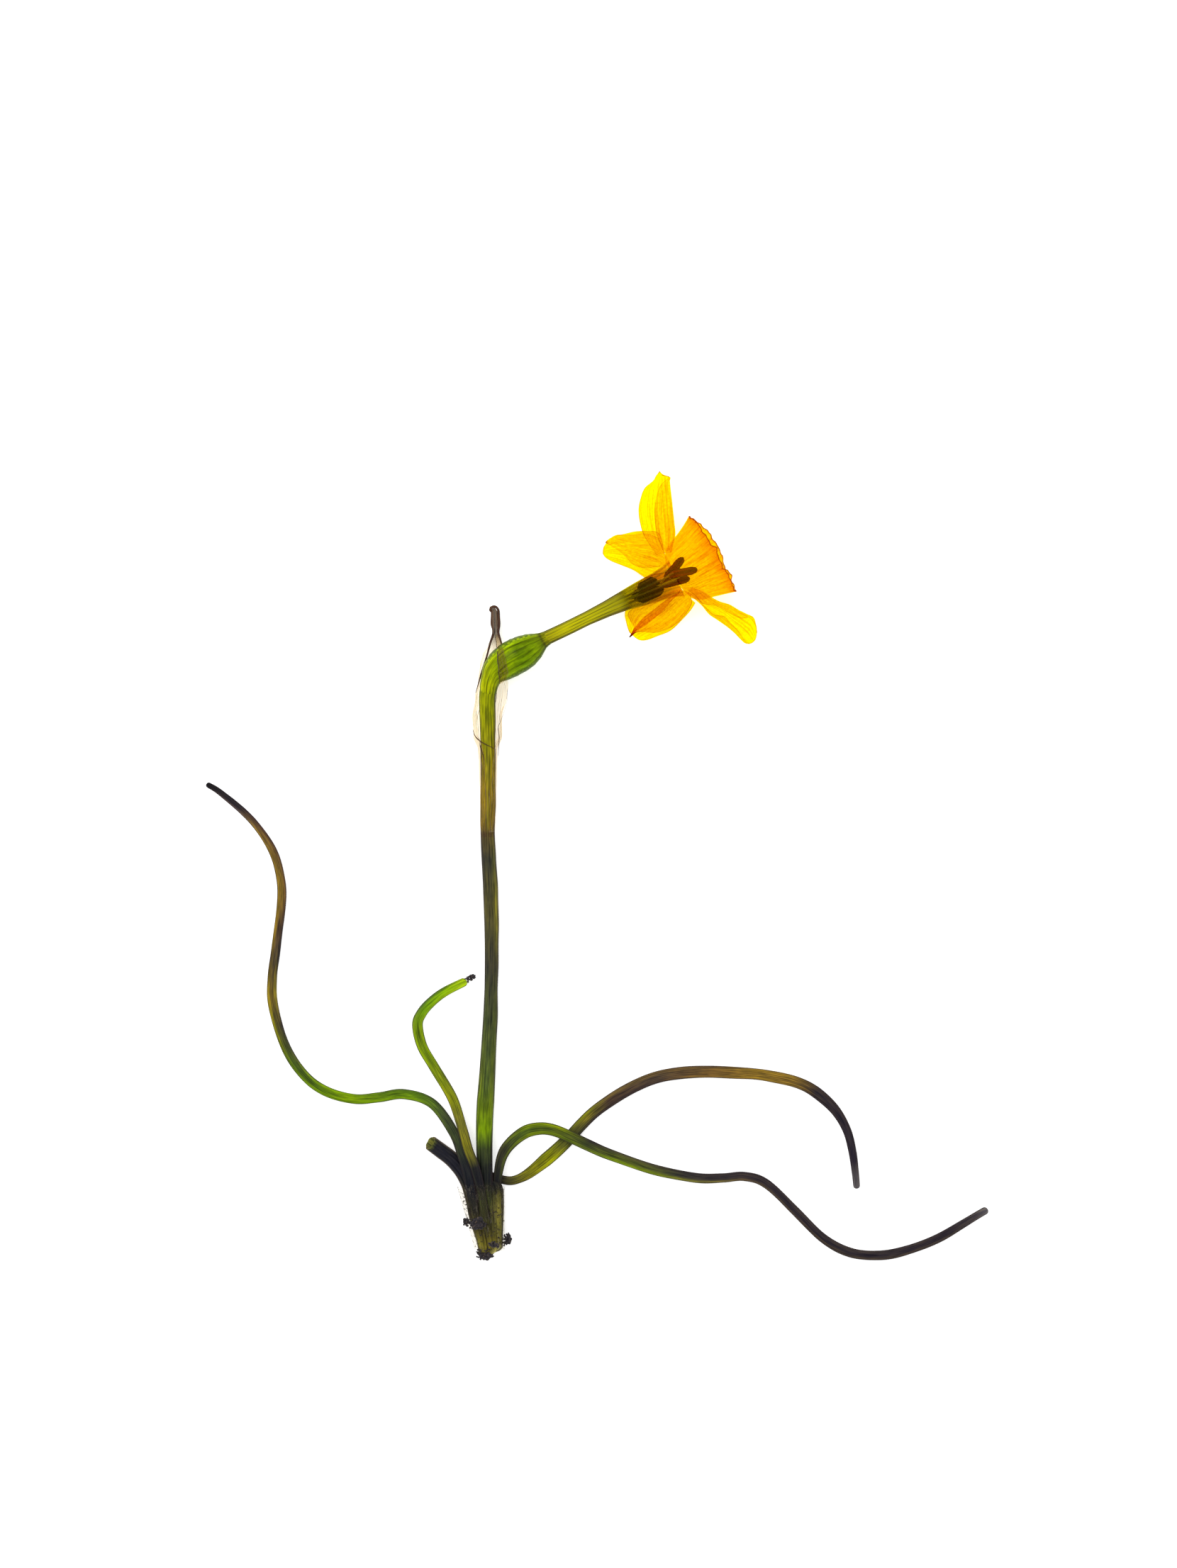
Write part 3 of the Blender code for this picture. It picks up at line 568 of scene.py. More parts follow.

# ---- leaf bases at the foot ----
# The broad outer bases of the leaves, packed into one flat bundle inside the sheath. They are
# fibrous and khaki where they were torn from the bulb, and go green above; their top end is
# painted near-black, as shade where the upper right leaf crosses under them.
bases_outline = [
    (-98.9, -29.6, -27.8), (-97.8, -30.0, -26.8), (-97.0, -30.2, -24.4), (-96.2, -30.3, -23.9),
    (-94.5, -30.7, -23.9), (-93, -31.2, -23.9), (-90.6, -32.0, -23.8), (-88, -32.7, -23.7),
    (-85.7, -33.1, -23.65), (-82, -33.6, -23.7), (-80.6, -33.5, -24.1), (-79.2, -32.6, -25.2),
]
bases_bands = [
    (0.0, (92, 84, 48), (70, 62, 44), (84, 76, 46)),
    (0.06, (104, 98, 54), (92, 84, 42), (170, 164, 96)),
    (0.1, (124, 118, 60), (110, 104, 40), (214, 210, 140)),
    (0.15, (126, 120, 52), (112, 106, 40), (190, 186, 110)),
    (0.18, (128, 124, 44), (112, 106, 38), (110, 104, 42)),
    (0.3, (112, 104, 46), (84, 80, 40), (118, 114, 50)),
    (0.45, (84, 76, 46), (68, 68, 40), (122, 118, 58)),
    (0.62, (70, 68, 44), (62, 66, 38), (120, 116, 58)),
    (0.78, (50, 52, 42), (58, 66, 40), (104, 102, 52)),
    # Painted shade: near-black at the top end, where the upper right leaf crosses under the bundle.
    (0.88, (34, 36, 40), (38, 42, 38), (50, 50, 40)),
    (1.0, (28, 28, 38), (30, 30, 36), (34, 34, 38)),
]
bases_rows, bases_around, bases_middle_z = 150, 72, 3.3
bases_from, bases_to = bases_outline[0][0], bases_outline[-1][0]
bases_deep = [(0, 1.3), (0.08, 2.0), (0.3, 2.5), (0.5, 2.45), (0.75, 1.6), (1, 0.9)]
bases = add_sheet("leaf_bases", bases_around, bases_rows)
for vert in bases.data.vertices:
    turn = angle_of(vert)
    along = vert.co.y + 0.5
    y = bases_from + (bases_to - bases_from) * along
    left = value_at([(row[0], row[1]) for row in bases_outline], y)
    right = value_at([(row[0], row[2]) for row in bases_outline], y)
    blunt = min(1.0, min(along, 1 - along) / 0.06)
    swell = math.sqrt(1 - (1 - blunt) ** 2) * (1 + 0.05 * math.cos(22 * turn))
    ragged = 1.3 * noise.noise(Vector((math.cos(turn) * 3, math.sin(turn) * 3, 5.0)))
    y += ragged * max(0.0, 1 - along / 0.25)
    narrowed = swell if blunt < 1 else 1
    x = (left + right) / 2 + math.cos(turn) * (right - left) / 2 * narrowed
    thick = value_at(bases_deep, along) * swell
    flat_sine = math.copysign(abs(math.sin(turn)) ** 0.7, math.sin(turn))
    vert.co = Vector((x, y, bases_middle_z + flat_sine * thick)) * MM
close_up(bases)
# The rim colour (44, 40, 36) is painted shade along the bundle's sides.
bases_skin = finish_strand("leaf_bases_skin", bases_bands, (44, 40, 36), 30, 20, line=0.6)
settle(bases, bases_skin, None)

# ---- basal sheath ----
# A clear, colourless skin that wraps leaves and stalk together at the foot. It is a dry tube,
# thin as film, wrinkled lengthwise, torn along its upper rim and dusted with fine grit.
sheath_foot, sheath_top = Vector((-27.3, -96.9, 3.35)), Vector((-29.5, -81.2, 4.15))
sheath_foot_half, sheath_top_half = (3.75, 3.35), (6.0, 4.15)
sheath_slant, sheath_wall, sheath_around, sheath_rows = 2.2, 0.12, 96, 48
sheath = add_sheet("clear_sheath", sheath_around, sheath_rows)
for vert in sheath.data.vertices:
    turn = angle_of(vert)
    x, z = math.cos(turn), math.sin(turn)
    squared = (abs(x) ** 3 + abs(z) ** 3) ** (-1 / 3)
    x, z = x * squared, z * squared
    tear = noise.noise(Vector((math.cos(turn) * 2.2, math.sin(turn) * 2.2, 9.0)))
    along = (vert.co.y + 0.5) * (1 + 0.035 * tear)
    folds = noise.noise(Vector((math.cos(turn) * 5, math.sin(turn) * 5, along * 1.5)))
    reach = 1 + 0.022 * folds - 0.012
    centre = sheath_foot.lerp(sheath_top, along)
    half_x, half_z = (
        foot + (top - foot) * along for foot, top in zip(sheath_foot_half, sheath_top_half)
    )
    offset = Vector((x * half_x * reach, z * sheath_slant * along / 2, z * half_z * reach))
    vert.co = (centre + offset + LAYOUT_TO_FRAME) * MM
close_up(sheath, sheath_wall)


def see_through(tree, shader, tint, clear):
    """Lets light straight through: clear is the share of it, or a socket, tint its colour."""
    glass = node(tree, "BsdfTransparent", [tint])
    joined = node(tree, "MixShader", [clear, shader, glass.outputs[0]])
    output = next(n for n in tree.nodes if n.type == "OUTPUT_MATERIAL")
    tree.links.new(joined.outputs[0], output.inputs[0])


def grit(tree, cells_per_metre, detail):
    """Fine even noise through a piece, at its own places."""
    place = node(tree, "TexCoord").outputs["Object"]
    settings = {"Vector": place, "Scale": cells_per_metre, "Detail": detail}
    return node(tree, "TexNoise", settings).outputs[0]


sheath_skin, tree, shader = start_finish("sheath_skin")
places = own_places(tree)
grain = grit(tree, 1500.0, 4.0)
creases = streaks(tree, places, 9.0, 5.0)
film_colours = [(0.3, paint(34, 30, 30)), (0.45, paint(80, 70, 56)), (0.6, paint(170, 162, 146))]
tree.links.new(ramp(tree, grain, film_colours), shader.inputs["Base Color"])
shader.inputs["Roughness"].default_value = 0.35
shader.inputs["Specular IOR Level"].default_value = 0.15
roughen(tree, shader, creases, 0.0002, 0.5)
dust = fade(tree, grain, 0.42, 0.3, 0.0, 0.85)
clouding = larger(tree, dust, fade(tree, creases, 0.55, 0.75, 0.008, 0.16))
outline = fade(tree, calc(tree, "ABSOLUTE", places[2]), 0.94, 1.0, 0.0, 0.3)
clouding = larger(tree, clouding, times(tree, outline, fade(tree, grain, 0.62, 0.42)))
film_tint = paint(252, 251, 249)
see_through(tree, shader.outputs[0], film_tint, calc(tree, "SUBTRACT", 1.0, clouding))
settle(sheath, sheath_skin, "basal_sheath")

# ---- papery spathe ----
# The bract that once held the bud: one dry, half-clear leaf, thin as tissue, with brown
# ribs. It is a sleeve on the stalk, opens into a trough under the capsule and ends in a
# narrow curled beak.
spathe_stations = [
    (7.5, -27.8, 2.75, 1.7, 1.65, 100, 440), (12, -27.8, 2.9, 1.98, 1.93, 100, 440),
    (16, -27.7, 3.1, 2.08, 2.05, 100, 440),
    (26, -27.75, 3.6, 2.3, 2.25, 110, 430), (29.5, -27.8, 3.75, 2.5, 2.5, 115, 420),
    (33, -27.8, 3.7, 3.7, 3.1, 130, 400), (38, -27.9, 3.7, 3.8, 3.25, 135, 390),
    (43, -26.95, 3.6, 4.1, 3.2, 145, 370), (47, -26.4, 3.2, 3.9, 2.8, 155, 345),
    (51, -26.2, 2.9, 3.6, 2.4, 160, 315), (53.5, -26.4, 2.9, 2.8, 2.2, 160, 320),
    (56, -25.8, 2.4, 1.9, 1.6, 150, 335), (58.5, -25.8, 1.8, 0.9, 0.85, 130, 400),
    (62, -26.0, 1.4, 0.8, 0.7, 110, 425), (64.3, -26.1, 1.3, 0.75, 0.65, 110, 425),
    (65.9, -26.7, 1.3, 0.65, 0.6, 110, 425),
]


def eased_station(rows, share):
    """One row of numbers from a table, eased between the given rows."""
    at = rows[0][0] + (rows[-1][0] - rows[0][0]) * share
    lower, upper = next((a, b) for a, b in zip(rows, rows[1:]) if at <= b[0] + 1e-6)
    part = (at - lower[0]) / (upper[0] - lower[0])
    part = part * part * (3 - 2 * part)
    return (at, *(a + (b - a) * part for a, b in zip(lower[1:], upper[1:])))


spathe_across, spathe_rows, spathe_wall = 60, 220, 0.1
spathe = add_sheet("papery_spathe", spathe_across, spathe_rows)
for vert in spathe.data.vertices:
    turn, along = vert.co.x + 0.5, vert.co.y + 0.5
    y, centre_x, centre_z, half_x, half_z, arc_from, arc_to = eased_station(spathe_stations, along)
    tatter = 8 * noise.noise(Vector((turn * 2, along * 30, 4.0)))
    angle = math.radians(arc_from + (arc_to - arc_from) * turn + tatter * (2 * turn - 1))
    pucker = noise.noise(Vector((math.cos(angle) * 2, math.sin(angle) * 2, y / 4)))
    reach = 1 + 0.03 * pucker - 0.02
    x = centre_x + half_x * reach * math.cos(angle)
    z = centre_z + half_z * reach * math.sin(angle)
    vert.co = (Vector((x, y, z)) + LAYOUT_TO_FRAME) * MM
close_up(spathe, spathe_wall)


def flat_places(tree):
    """From the UV map: the shares across and along a sheet that isn't rolled up."""
    split = node(tree, "SeparateXYZ", [node(tree, "UVMap").outputs[0]])
    return split.outputs[0], split.outputs[1]


spathe_skin, tree, shader = start_finish("spathe_paper_skin")
across, along = flat_places(tree)
fibres = noise_at(tree, times(tree, across, 9.0), times(tree, along, 9.0), 0.0, 1.0, 0.15)
sway = times(tree, fibres, 9.0)
strings = calc(tree, "COSINE", calc(tree, "ADD", times(tree, across, 120.0), sway))
broken = fade(tree, fibres, 0.35, 0.6, 0.2, 1.0)
veins = times(tree, fade(tree, strings, 0.9, 0.995), broken)
beak = fade(tree, along, 0.8, 0.9)
sleeve = fade(tree, along, 0.42, 0.3)
joint = fade(tree, along, 0.03, 0.018)
paper_colours = [
    (0.3, paint(150, 112, 76)), (0.5, paint(206, 180, 140)), (0.7, paint(236, 222, 196)),
]
marks = larger(tree, times(tree, veins, 0.75), larger(tree, joint, times(tree, beak, 0.8)))
paper = mix(tree, marks, ramp(tree, fibres, paper_colours), paint(84, 56, 44))
tree.links.new(paper, shader.inputs["Base Color"])
shader.inputs["Roughness"].default_value = 0.5
shader.inputs["Specular IOR Level"].default_value = 0.25
roughen(tree, shader, fibres, 0.0002, 0.6)
solid = larger(tree, times(tree, veins, 0.75), fade(tree, fibres, 0.55, 0.3, 0.003, 0.04))
solid = times(tree, solid, calc(tree, "SUBTRACT", 1.0, times(tree, sleeve, 0.3)))
solid = larger(tree, solid, larger(tree, times(tree, joint, 0.25), times(tree, beak, 0.7)))
paper_tint = paint(252, 248, 240)
see_through(tree, shader.outputs[0], paper_tint, calc(tree, "SUBTRACT", 1.0, solid))
settle(spathe, spathe_skin, "spathe")

# ---- ribs and fold of the spathe ----
# Two stiff brown ribs run down the bract from its beak, where one curls over in a hook. A
# narrow fold of the same paper lies over the capsule's neck, dark along both its creases.
rib_routes = {
    "spathe_left_rib": (
        [
            (-26.75, 65.2, 1.7), (-26.75, 63.6, 1.6), (-26.8, 61.5, 1.8), (-26.35, 59.4, 2.1),
            (-27.2, 56.5, 2.9), (-28.0, 53.2, 3.5), (-29.1, 49.8, 3.9), (-29.8, 47.5, 4.1),
            (-30.45, 45.2, 4.3), (-30.85, 43.9, 4.2),
        ],
        [(0, 0.26), (0.3, 0.3), (0.5, 0.22), (0.8, 0.2), (1, 0.06)],
    ),
    "spathe_right_edge": (
        [
            (-22.9, 44.6, 4.0), (-22.8, 42.6, 3.9), (-23.3, 40.4, 3.9),
            (-24.3, 37.4, 3.9), (-25.1, 35.1, 4.2), (-24.8, 32.6, 4.2), (-25.1, 28.0, 4.2),
        ],
        [(0, 0.02), (0.4, 0.03), (0.75, 0.09), (1, 0.04)],
    ),
    "spathe_left_gather": (
        [
            (-31.6, 34.8, 4.2), (-31.0, 33.2, 4.7), (-29.8, 31.9, 5.6), (-28.3, 31.0, 6.05),
            (-26.9, 30.3, 5.95), (-25.7, 29.6, 5.1),
        ],
        [(0, 0.04), (0.3, 0.13), (0.6, 0.11), (1, 0.04)],
    ),
    "spathe_right_gather": (
        [
            (-29.9, 32.0, 5.4), (-29.6, 30.2, 5.6), (-29.0, 28.4, 5.9), (-28.7, 26.4, 5.9),
        ],
        [(0, 0.03), (0.4, 0.1), (0.7, 0.09), (1, 0.03)],
    ),
    "spathe_right_rib": (
        [
            (-24.1, 55.4, 5.4), (-24.55, 57.2, 3.9), (-25.15, 59.3, 2.5), (-24.98, 61.2, 1.9),
            (-25.05, 63.3, 1.7), (-25.1, 64.8, 1.8), (-25.5, 65.6, 1.9), (-26.2, 65.95, 2.0),
            (-26.95, 65.7, 2.0), (-27.3, 65.05, 1.8), (-26.95, 64.6, 1.6), (-26.45, 64.9, 1.5),
        ],
        [(0, 0.14), (0.25, 0.26), (0.5, 0.34), (0.8, 0.3), (1, 0.18)],
    ),
}
rib_bands = [
    (0.0, (70, 48, 42), (92, 64, 50), (60, 42, 40)),
    (0.5, (60, 42, 40), (84, 58, 48), (56, 40, 40)),
    (1.0, (84, 58, 46), (104, 74, 54), (70, 50, 42)),
]
for rib_name, (rib_route, rib_widths) in rib_routes.items():
    rib = lay_strand(rib_name, rib_route, rib_widths, 0.7, round_stem, 6, around=20, along=160)
    # The rim colour (50, 36, 38) is painted shade along each rib's sides.
    rib_skin = finish_strand(rib_name + "_skin", rib_bands, (50, 36, 38), 6, 26, roughness=0.6)
    settle(rib, rib_skin, None)
fold_net = [
    [(-25.9, 58.8, 2.5), (-25.6, 58.8, 2.8), (-25.4, 58.8, 2.8), (-25.2, 58.8, 2.6)],
    [(-25.7, 56.8, 4.2), (-25.2, 56.9, 4.8), (-24.7, 56.9, 4.9), (-24.2, 56.7, 4.8)],
    [(-25.3, 54.4, 7.9), (-24.8, 54.5, 8.7), (-24.2, 54.6, 9.0), (-23.7, 54.8, 9.2)],
    [(-25.15, 52.0, 9.2), (-24.6, 52.0, 9.9), (-23.8, 52.1, 10.1), (-23.1, 52.2, 10.1)],
    [(-24.95, 49.5, 9.4), (-24.4, 49.5, 9.8), (-23.4, 49.6, 9.8), (-22.6, 49.7, 9.5)],
    [(-24.8, 47.5, 7.7), (-24.4, 47.4, 7.7), (-23.5, 47.4, 7.5), (-22.7, 47.7, 7.0)],
    [(-24.75, 46.4, 6.2), (-24.65, 46.3, 6.2), (-24.5, 46.3, 6.1), (-24.35, 46.4, 6.0)],
]
fold_across, fold_rows, fold_wall, fold_waver = 24, 80, 0.08, 0.12


def net_point(net, across, along):
    """A place on the smooth sheet through a net of points, rows from foot to tip."""
    return spline([spline([Vector(p) for p in row], across) for row in net], along)


fold = add_sheet("spathe_fold", fold_across, fold_rows)
for vert in fold.data.vertices:
    across, along = vert.co.x + 0.5, vert.co.y + 0.5
    place = net_point(fold_net, across, along)
    place.x += fold_waver * noise.noise(Vector((0.0, along * 9, across)))
    vert.co = place * MM
close_up(fold, fold_wall)
fold_skin, tree, shader = start_finish("spathe_fold_skin")
across, along = flat_places(tree)
fibres = noise_at(tree, times(tree, across, 5.0), times(tree, along, 5.0), 0.0, 4.0)
crease = larger(tree, fade(tree, across, 0.13, 0.06), fade(tree, across, 0.9, 0.97, 0.0, 0.3))
off_line = calc(tree, "ABSOLUTE", calc(tree, "SUBTRACT", fibres, 0.5))
shown = larger(tree, crease, times(tree, fade(tree, off_line, 0.02, 0.006), 0.4))
fold_colour = mix(tree, shown, paint(180, 150, 110), paint(64, 46, 36))
tree.links.new(fold_colour, shader.inputs["Base Color"])
shader.inputs["Roughness"].default_value = 0.6
shader.inputs["Specular IOR Level"].default_value = 0.2
fold_tint = paint(246, 240, 226)
see_through(tree, shader.outputs[0], fold_tint, fade(tree, shown, 0.0, 1.0, 0.985, 0.25))
settle(fold, fold_skin, None)

# ---- seed capsule ----
# The swelling green ovary behind the flower: three rounded lobes of firm, shining tissue.
# The rows of young seeds inside press small pale bumps into its upper and lower sides.
capsule_route = [
    (-27.75, 42.4, 4.55), (-27.45, 46.0, 4.85), (-26.35, 48.7, 5.1), (-24.4, 50.7, 5.35),
    (-21.9, 52.4, 5.5), (-19.2, 53.9, 5.5), (-16.6, 55.5, 5.45), (-14.4, 56.9, 5.4),
    (-12.6, 57.9, 5.45), (-10.9, 58.75, 5.5),
]
capsule_half_widths = [
    (0, 1.6), (0.045, 1.9), (0.093, 2.08), (0.14, 2.18), (0.214, 2.45), (0.28, 3.25),
    (0.363, 3.95), (0.465, 4.4), (0.577, 4.45), (0.67, 4.12), (0.763, 3.35), (0.82, 2.6),
    (0.865, 2.05), (0.92, 1.76), (1, 1.55),
]
capsule_bands = [
    (0.0, (150, 160, 4), (128, 138, 4), (110, 120, 5)),
    (0.14, (176, 184, 2), (150, 160, 2), (132, 144, 2)),
    (0.26, (166, 178, 2), (146, 164, 2), (138, 156, 2)),
    (0.4, (140, 164, 0), (122, 148, 0), (118, 146, 2)),
    (0.6, (134, 164, 0), (106, 136, 0), (108, 142, 2)),
    (0.76, (134, 160, 0), (110, 138, 2), (112, 140, 2)),
    (0.84, (120, 140, 6), (100, 120, 8), (104, 124, 8)),
    (0.865, (80, 82, 20), (90, 92, 18), (80, 82, 20)),
    (0.885, (120, 124, 8), (136, 140, 6), (116, 120, 8)),
    (0.94, (110, 110, 14), (170, 168, 4), (110, 110, 14)),
    (1.0, (110, 108, 14), (196, 190, 4), (110, 108, 14)),
]
capsule = lay_strand(
    "seed_capsule", capsule_route, capsule_half_widths, 0.92, round_stem, 0, around=120, along=160
)
seed_count, seed_height, seed_half = 9, 0.14, 0.64
capsule_steps = 100
capsule_shares = [k / capsule_steps for k in range(capsule_steps + 1)]
capsule_points, _ = points_at(capsule_route, capsule_shares)
seed_places = []
for row_angle, row_height in ((2.58, 1.0), (0.5, 0.55), (3.1, 0.6)):
    for k in range(seed_count):
        share = 0.33 + 0.5 * (k + 0.5 * (row_angle > 3)) / seed_count
        at = round(share * capsule_steps)
        _, side, up = axes_at(capsule_points, at)
        out = side * math.cos(row_angle) + up * math.sin(row_angle)
        reach = value_at(capsule_half_widths, share) * 0.97
        seed_places.append((capsule_points[at] + LAYOUT_TO_FRAME + out * reach, out, row_height))
seed_marks = capsule.data.attributes.new("seed", "FLOAT", "POINT")
for vert in capsule.data.vertices:
    mark = 0.0
    for place, out, height in seed_places:
        away = (vert.co / MM - place).length
        if away < 2 * seed_half:
            swell = height * math.exp(-((away / seed_half) ** 2) * 2.2)
            vert.co += out * seed_height * swell * MM
            mark = max(mark, swell)
    seed_marks.data[vert.index].value = mark
# The rim colour (70, 88, 14) is painted shade along the capsule's sides.
capsule_skin = finish_strand(
    "capsule_skin", capsule_bands, (70, 88, 14), 16, 30, roughness=0.34, line=0.34
)
tree = capsule_skin.node_tree
shader = tree.nodes["Principled BSDF"]
skin_colour = shader.inputs["Base Color"].links[0].from_socket
swollen = node(tree, "Attribute", attribute_name="seed").outputs["Fac"]
places = own_places(tree)
meander = times(tree, streaks(tree, places, 2.2, 3.0, 2.0), 60.0)
netting = times(tree, fade(tree, calc(tree, "COSINE", meander), 0.86, 0.99), 0.3)
skin_colour = mix(tree, netting, skin_colour, paint(56, 74, 6))
paleness = fade(tree, swollen, 0.25, 0.8, 0.0, 0.5)
skin_colour = mix(tree, paleness, skin_colour, paint(176, 200, 10))
outline = times(tree, fade(tree, swollen, 0.04, 0.14), fade(tree, swollen, 0.3, 0.16))
skin_colour = mix(tree, times(tree, outline, 0.5), skin_colour, paint(60, 84, 4))
tree.links.new(skin_colour, shader.inputs["Base Color"])
settle(capsule, capsule_skin, "ovary")

# ---- floral tube ----
# The long tube between capsule and flower: solid at the capsule, then a thin hollow wall that
# widens to the mouth. It is yellow-green, ribbed, and clear enough to show the stamens inside,
# with painted shade darkening it along its two sides.
tube_route = [
    (-14.6, 57.0, 5.4), (-7.8, 60.2, 5.6), (-2.3, 62.9, 5.9), (7, 67.3, 6.5), (14, 70.2, 7.1),
    (19.9, 72.8, 7.55),
]
tube_half_widths = [
    (0, 1.35), (0.05, 1.68), (0.1, 1.65), (0.35, 1.65), (0.5, 1.95), (0.62, 2.4), (0.75, 3.1),
    (0.87, 3.55), (0.95, 4.1), (1, 4.8),
]
tube_wall, tube_sides, tube_rows, tube_ribs = 0.22, 72, 150, 15
tube = add_sheet("floral_tube_wall", tube_sides, tube_rows)
tube_shares = [k / tube_rows for k in range(tube_rows + 1)]
tube_points, _ = points_at(tube_route, tube_shares)
for vert in tube.data.vertices:
    angle = angle_of(vert)
    k = round((vert.co.y + 0.5) * tube_rows)
    _, side, up = axes_at(tube_points, k)
    share = tube_shares[k]
    reach = value_at(tube_half_widths, share) * (1 + 0.02 * math.cos(tube_ribs * angle))
    flat = 0.95 - 0.13 * share
    out = side * math.cos(angle) + up * math.sin(angle) * flat
    vert.co = (tube_points[k] + LAYOUT_TO_FRAME + out * reach) * MM
close_up(tube, tube_wall)

tube_skin, tree, shader = start_finish("tube_skin")
places = own_places(tree)
share, right = places[1], places[2]
body_colour = ramp(tree, share, [
    (0.0, paint(150, 150, 8)), (0.06, paint(196, 190, 4)), (0.2, paint(232, 226, 0)),
    (0.35, paint(222, 216, 0)), (0.5, paint(206, 200, 4)), (0.65, paint(186, 176, 4)),
    (0.85, paint(190, 150, 8)), (1.0, paint(240, 180, 8)),
])
# Painted shade: the tube darkens towards its two sides, where the wall is seen edge-on.
side_shade_colour = ramp(tree, share, [
    (0.0, paint(96, 92, 18)), (0.3, paint(124, 118, 10)), (0.6, paint(124, 112, 10)),
    (1.0, paint(190, 120, 12)),
])
fine = streaks(tree, places, 5.0, 5.0, 4.0)
side_shade = fade(tree, calc(tree, "ABSOLUTE", right), 0.5, 0.98)
colour = mix(tree, side_shade, body_colour, side_shade_colour)
grooves = calc(tree, "COSINE", times(tree, places[0], math.tau * tube_ribs))
in_groove = fade(tree, grooves, -0.2, -0.95)
lines = times(tree, in_groove, fade(tree, fine, 0.6, 0.4, 0.3, 0.85))
colour = mix(tree, lines, colour, paint(100, 96, 10))
tube_shades = [(0.3, 0.75, 0.75, 0.75), (0.5, 1, 1, 1), (0.7, 1.2, 1.2, 1.1)]
colour = shade(tree, colour, fine, tube_shades)
tree.links.new(colour, shader.inputs["Base Color"])
shader.inputs["Roughness"].default_value = 0.4
shader.inputs["Specular IOR Level"].default_value = 0.1
roughen(tree, shader, grooves, 0.00015, 0.35)
glow = node(tree, "BsdfTranslucent", [colour])
body = node(tree, "MixShader", [0.4, shader.outputs[0], glow.outputs[0]])
clear = fade(tree, share, 0.57, 0.67, 0.0, 0.955)
clear = times(tree, clear, fade(tree, lines, 0.0, 0.6, 1.0, 0.8))
dye = ramp(tree, share, [
    (0.36, paint(214, 214, 30)), (0.7, paint(222, 216, 36)), (0.88, paint(240, 224, 40)),
    (1.0, paint(253, 238, 34)),
])
see_through(tree, body.outputs[0], dye, clear)
settle(tube, tube_skin, "floral_tube")

# ---- stamens and style ----
# Six stamens in two ranks of three, each a thin filament with a two-lobed brown anther full of
# pollen, and one pale style with a three-lobed stigma. All stand inside tube and trumpet.


def anther_lobes(angle):
    """Two rounded pollen sacs side by side, with a seam between them."""
    reach = 0.82 + 0.18 * math.cos(2 * angle)
    return math.cos(angle) * reach * 1.1, math.sin(angle) * reach


stamen_paths = {
    "lower": [
        ((3.4, 66.2, 6.9), (10.3, 69.8, 7.9), (14.9, 72.5, 8.3)),
        ((2.6, 65.2, 5.5), (8.9, 68.1, 5.6), (16.3, 71.5, 5.9)),
        ((3.2, 64.7, 6.3), (10.0, 67.4, 7.1), (16.7, 70.2, 7.7)),
    ],
    "upper": [
        ((14.8, 71.9, 8.6), (17.1, 72.8, 9.0), (21.6, 77.9, 9.2)),
        ((15.8, 71.2, 9.0), (18.0, 73.2, 9.9), (25.1, 74.9, 10.2)),
        ((14.3, 70.4, 5.6), (15.9, 71.1, 5.4), (23.3, 72.9, 5.4)),
    ],
}
pollen_colours = {  # of the pollen sacs and of the seam between them
    "lower": ((84, 50, 60), (64, 36, 50)),
    "upper": ((112, 34, 34), (84, 24, 28)),
}
filament_colours = {
    "foot": [(150, 120, 30)] * 3,
    "top": [(170, 140, 30), (170, 140, 30), (160, 130, 30)],
}
anther_halves, filament_half = {"lower": 1.25, "upper": 0.92}, 0.2
for rank, paths in stamen_paths.items():
    anther_half = anther_halves[rank]
    for n, (foot, neck, tip) in enumerate(paths, 1):
        filament = (Vector(neck) - Vector(foot)).length
        at = filament / (filament + (Vector(tip) - Vector(neck)).length)
        half_widths = [
            (0, filament_half), (at - 0.03, filament_half), (at, 0.5),
            (at + (1 - at) * 0.15, anther_half), (at + (1 - at) * 0.8, anther_half * 0.95),
            (at + (1 - at) * 0.95, 0.6), (1, 0.3),
        ]
        stamen = lay_strand(
            f"stamen_{rank}_rank_{n}", (foot, neck, tip), half_widths, 0.9, anther_lobes, 0,
            around=28, along=110,
        )
        for vert in stamen.data.vertices:
            grains = noise.noise(vert.co / MM * 5.0) + 0.6 * noise.noise(vert.co / MM * 11.0)
            vert.co += vert.normal * 0.16 * grains * MM
        dusty, seam = pollen_colours[rank]
        bands = [
            (0.0, *filament_colours["foot"]), (at - 0.02, *filament_colours["top"]),
            (at + 0.02, dusty, seam, dusty), (1.0, dusty, seam, dusty),
        ]
        # The rim colour (60, 38, 26) is painted shade along each stamen's sides.
        pollen = finish_strand(f"pollen_{rank}_{n}", bands, (60, 38, 26), 2, 9, roughness=0.8)
        settle(stamen, pollen, f"stamen_{rank}_{n}")
style_route = [
    (3.6, 65.5, 6.2), (7, 67.35, 6.5), (14, 70.45, 7.1), (19.8, 72.8, 7.5), (22.6, 74.6, 7.6),
]
style_half_widths = [(0, 0.25), (0.9, 0.25), (0.95, 0.55), (1, 0.6)]


def three_lobes(angle):
    reach = 1 + 0.12 * math.cos(3 * angle)
    return reach * math.cos(angle), reach * math.sin(angle)


style = lay_strand(
    "style_with_stigma", style_route, style_half_widths, 1.0, three_lobes, 0, around=24, along=110
)
style_bands = [
    (0.0, (176, 180, 40), (180, 184, 50), (170, 174, 40)),
    (0.9, (190, 180, 40), (196, 186, 50), (186, 176, 40)),
    (1.0, (150, 110, 30), (160, 120, 36), (150, 110, 30)),
]
# The rim colour (120, 110, 30) is painted shade along the style's sides.
style_skin = finish_strand("style_skin", style_bands, (120, 110, 30), 3, 22)
settle(style, style_skin, "style_and_stigma")

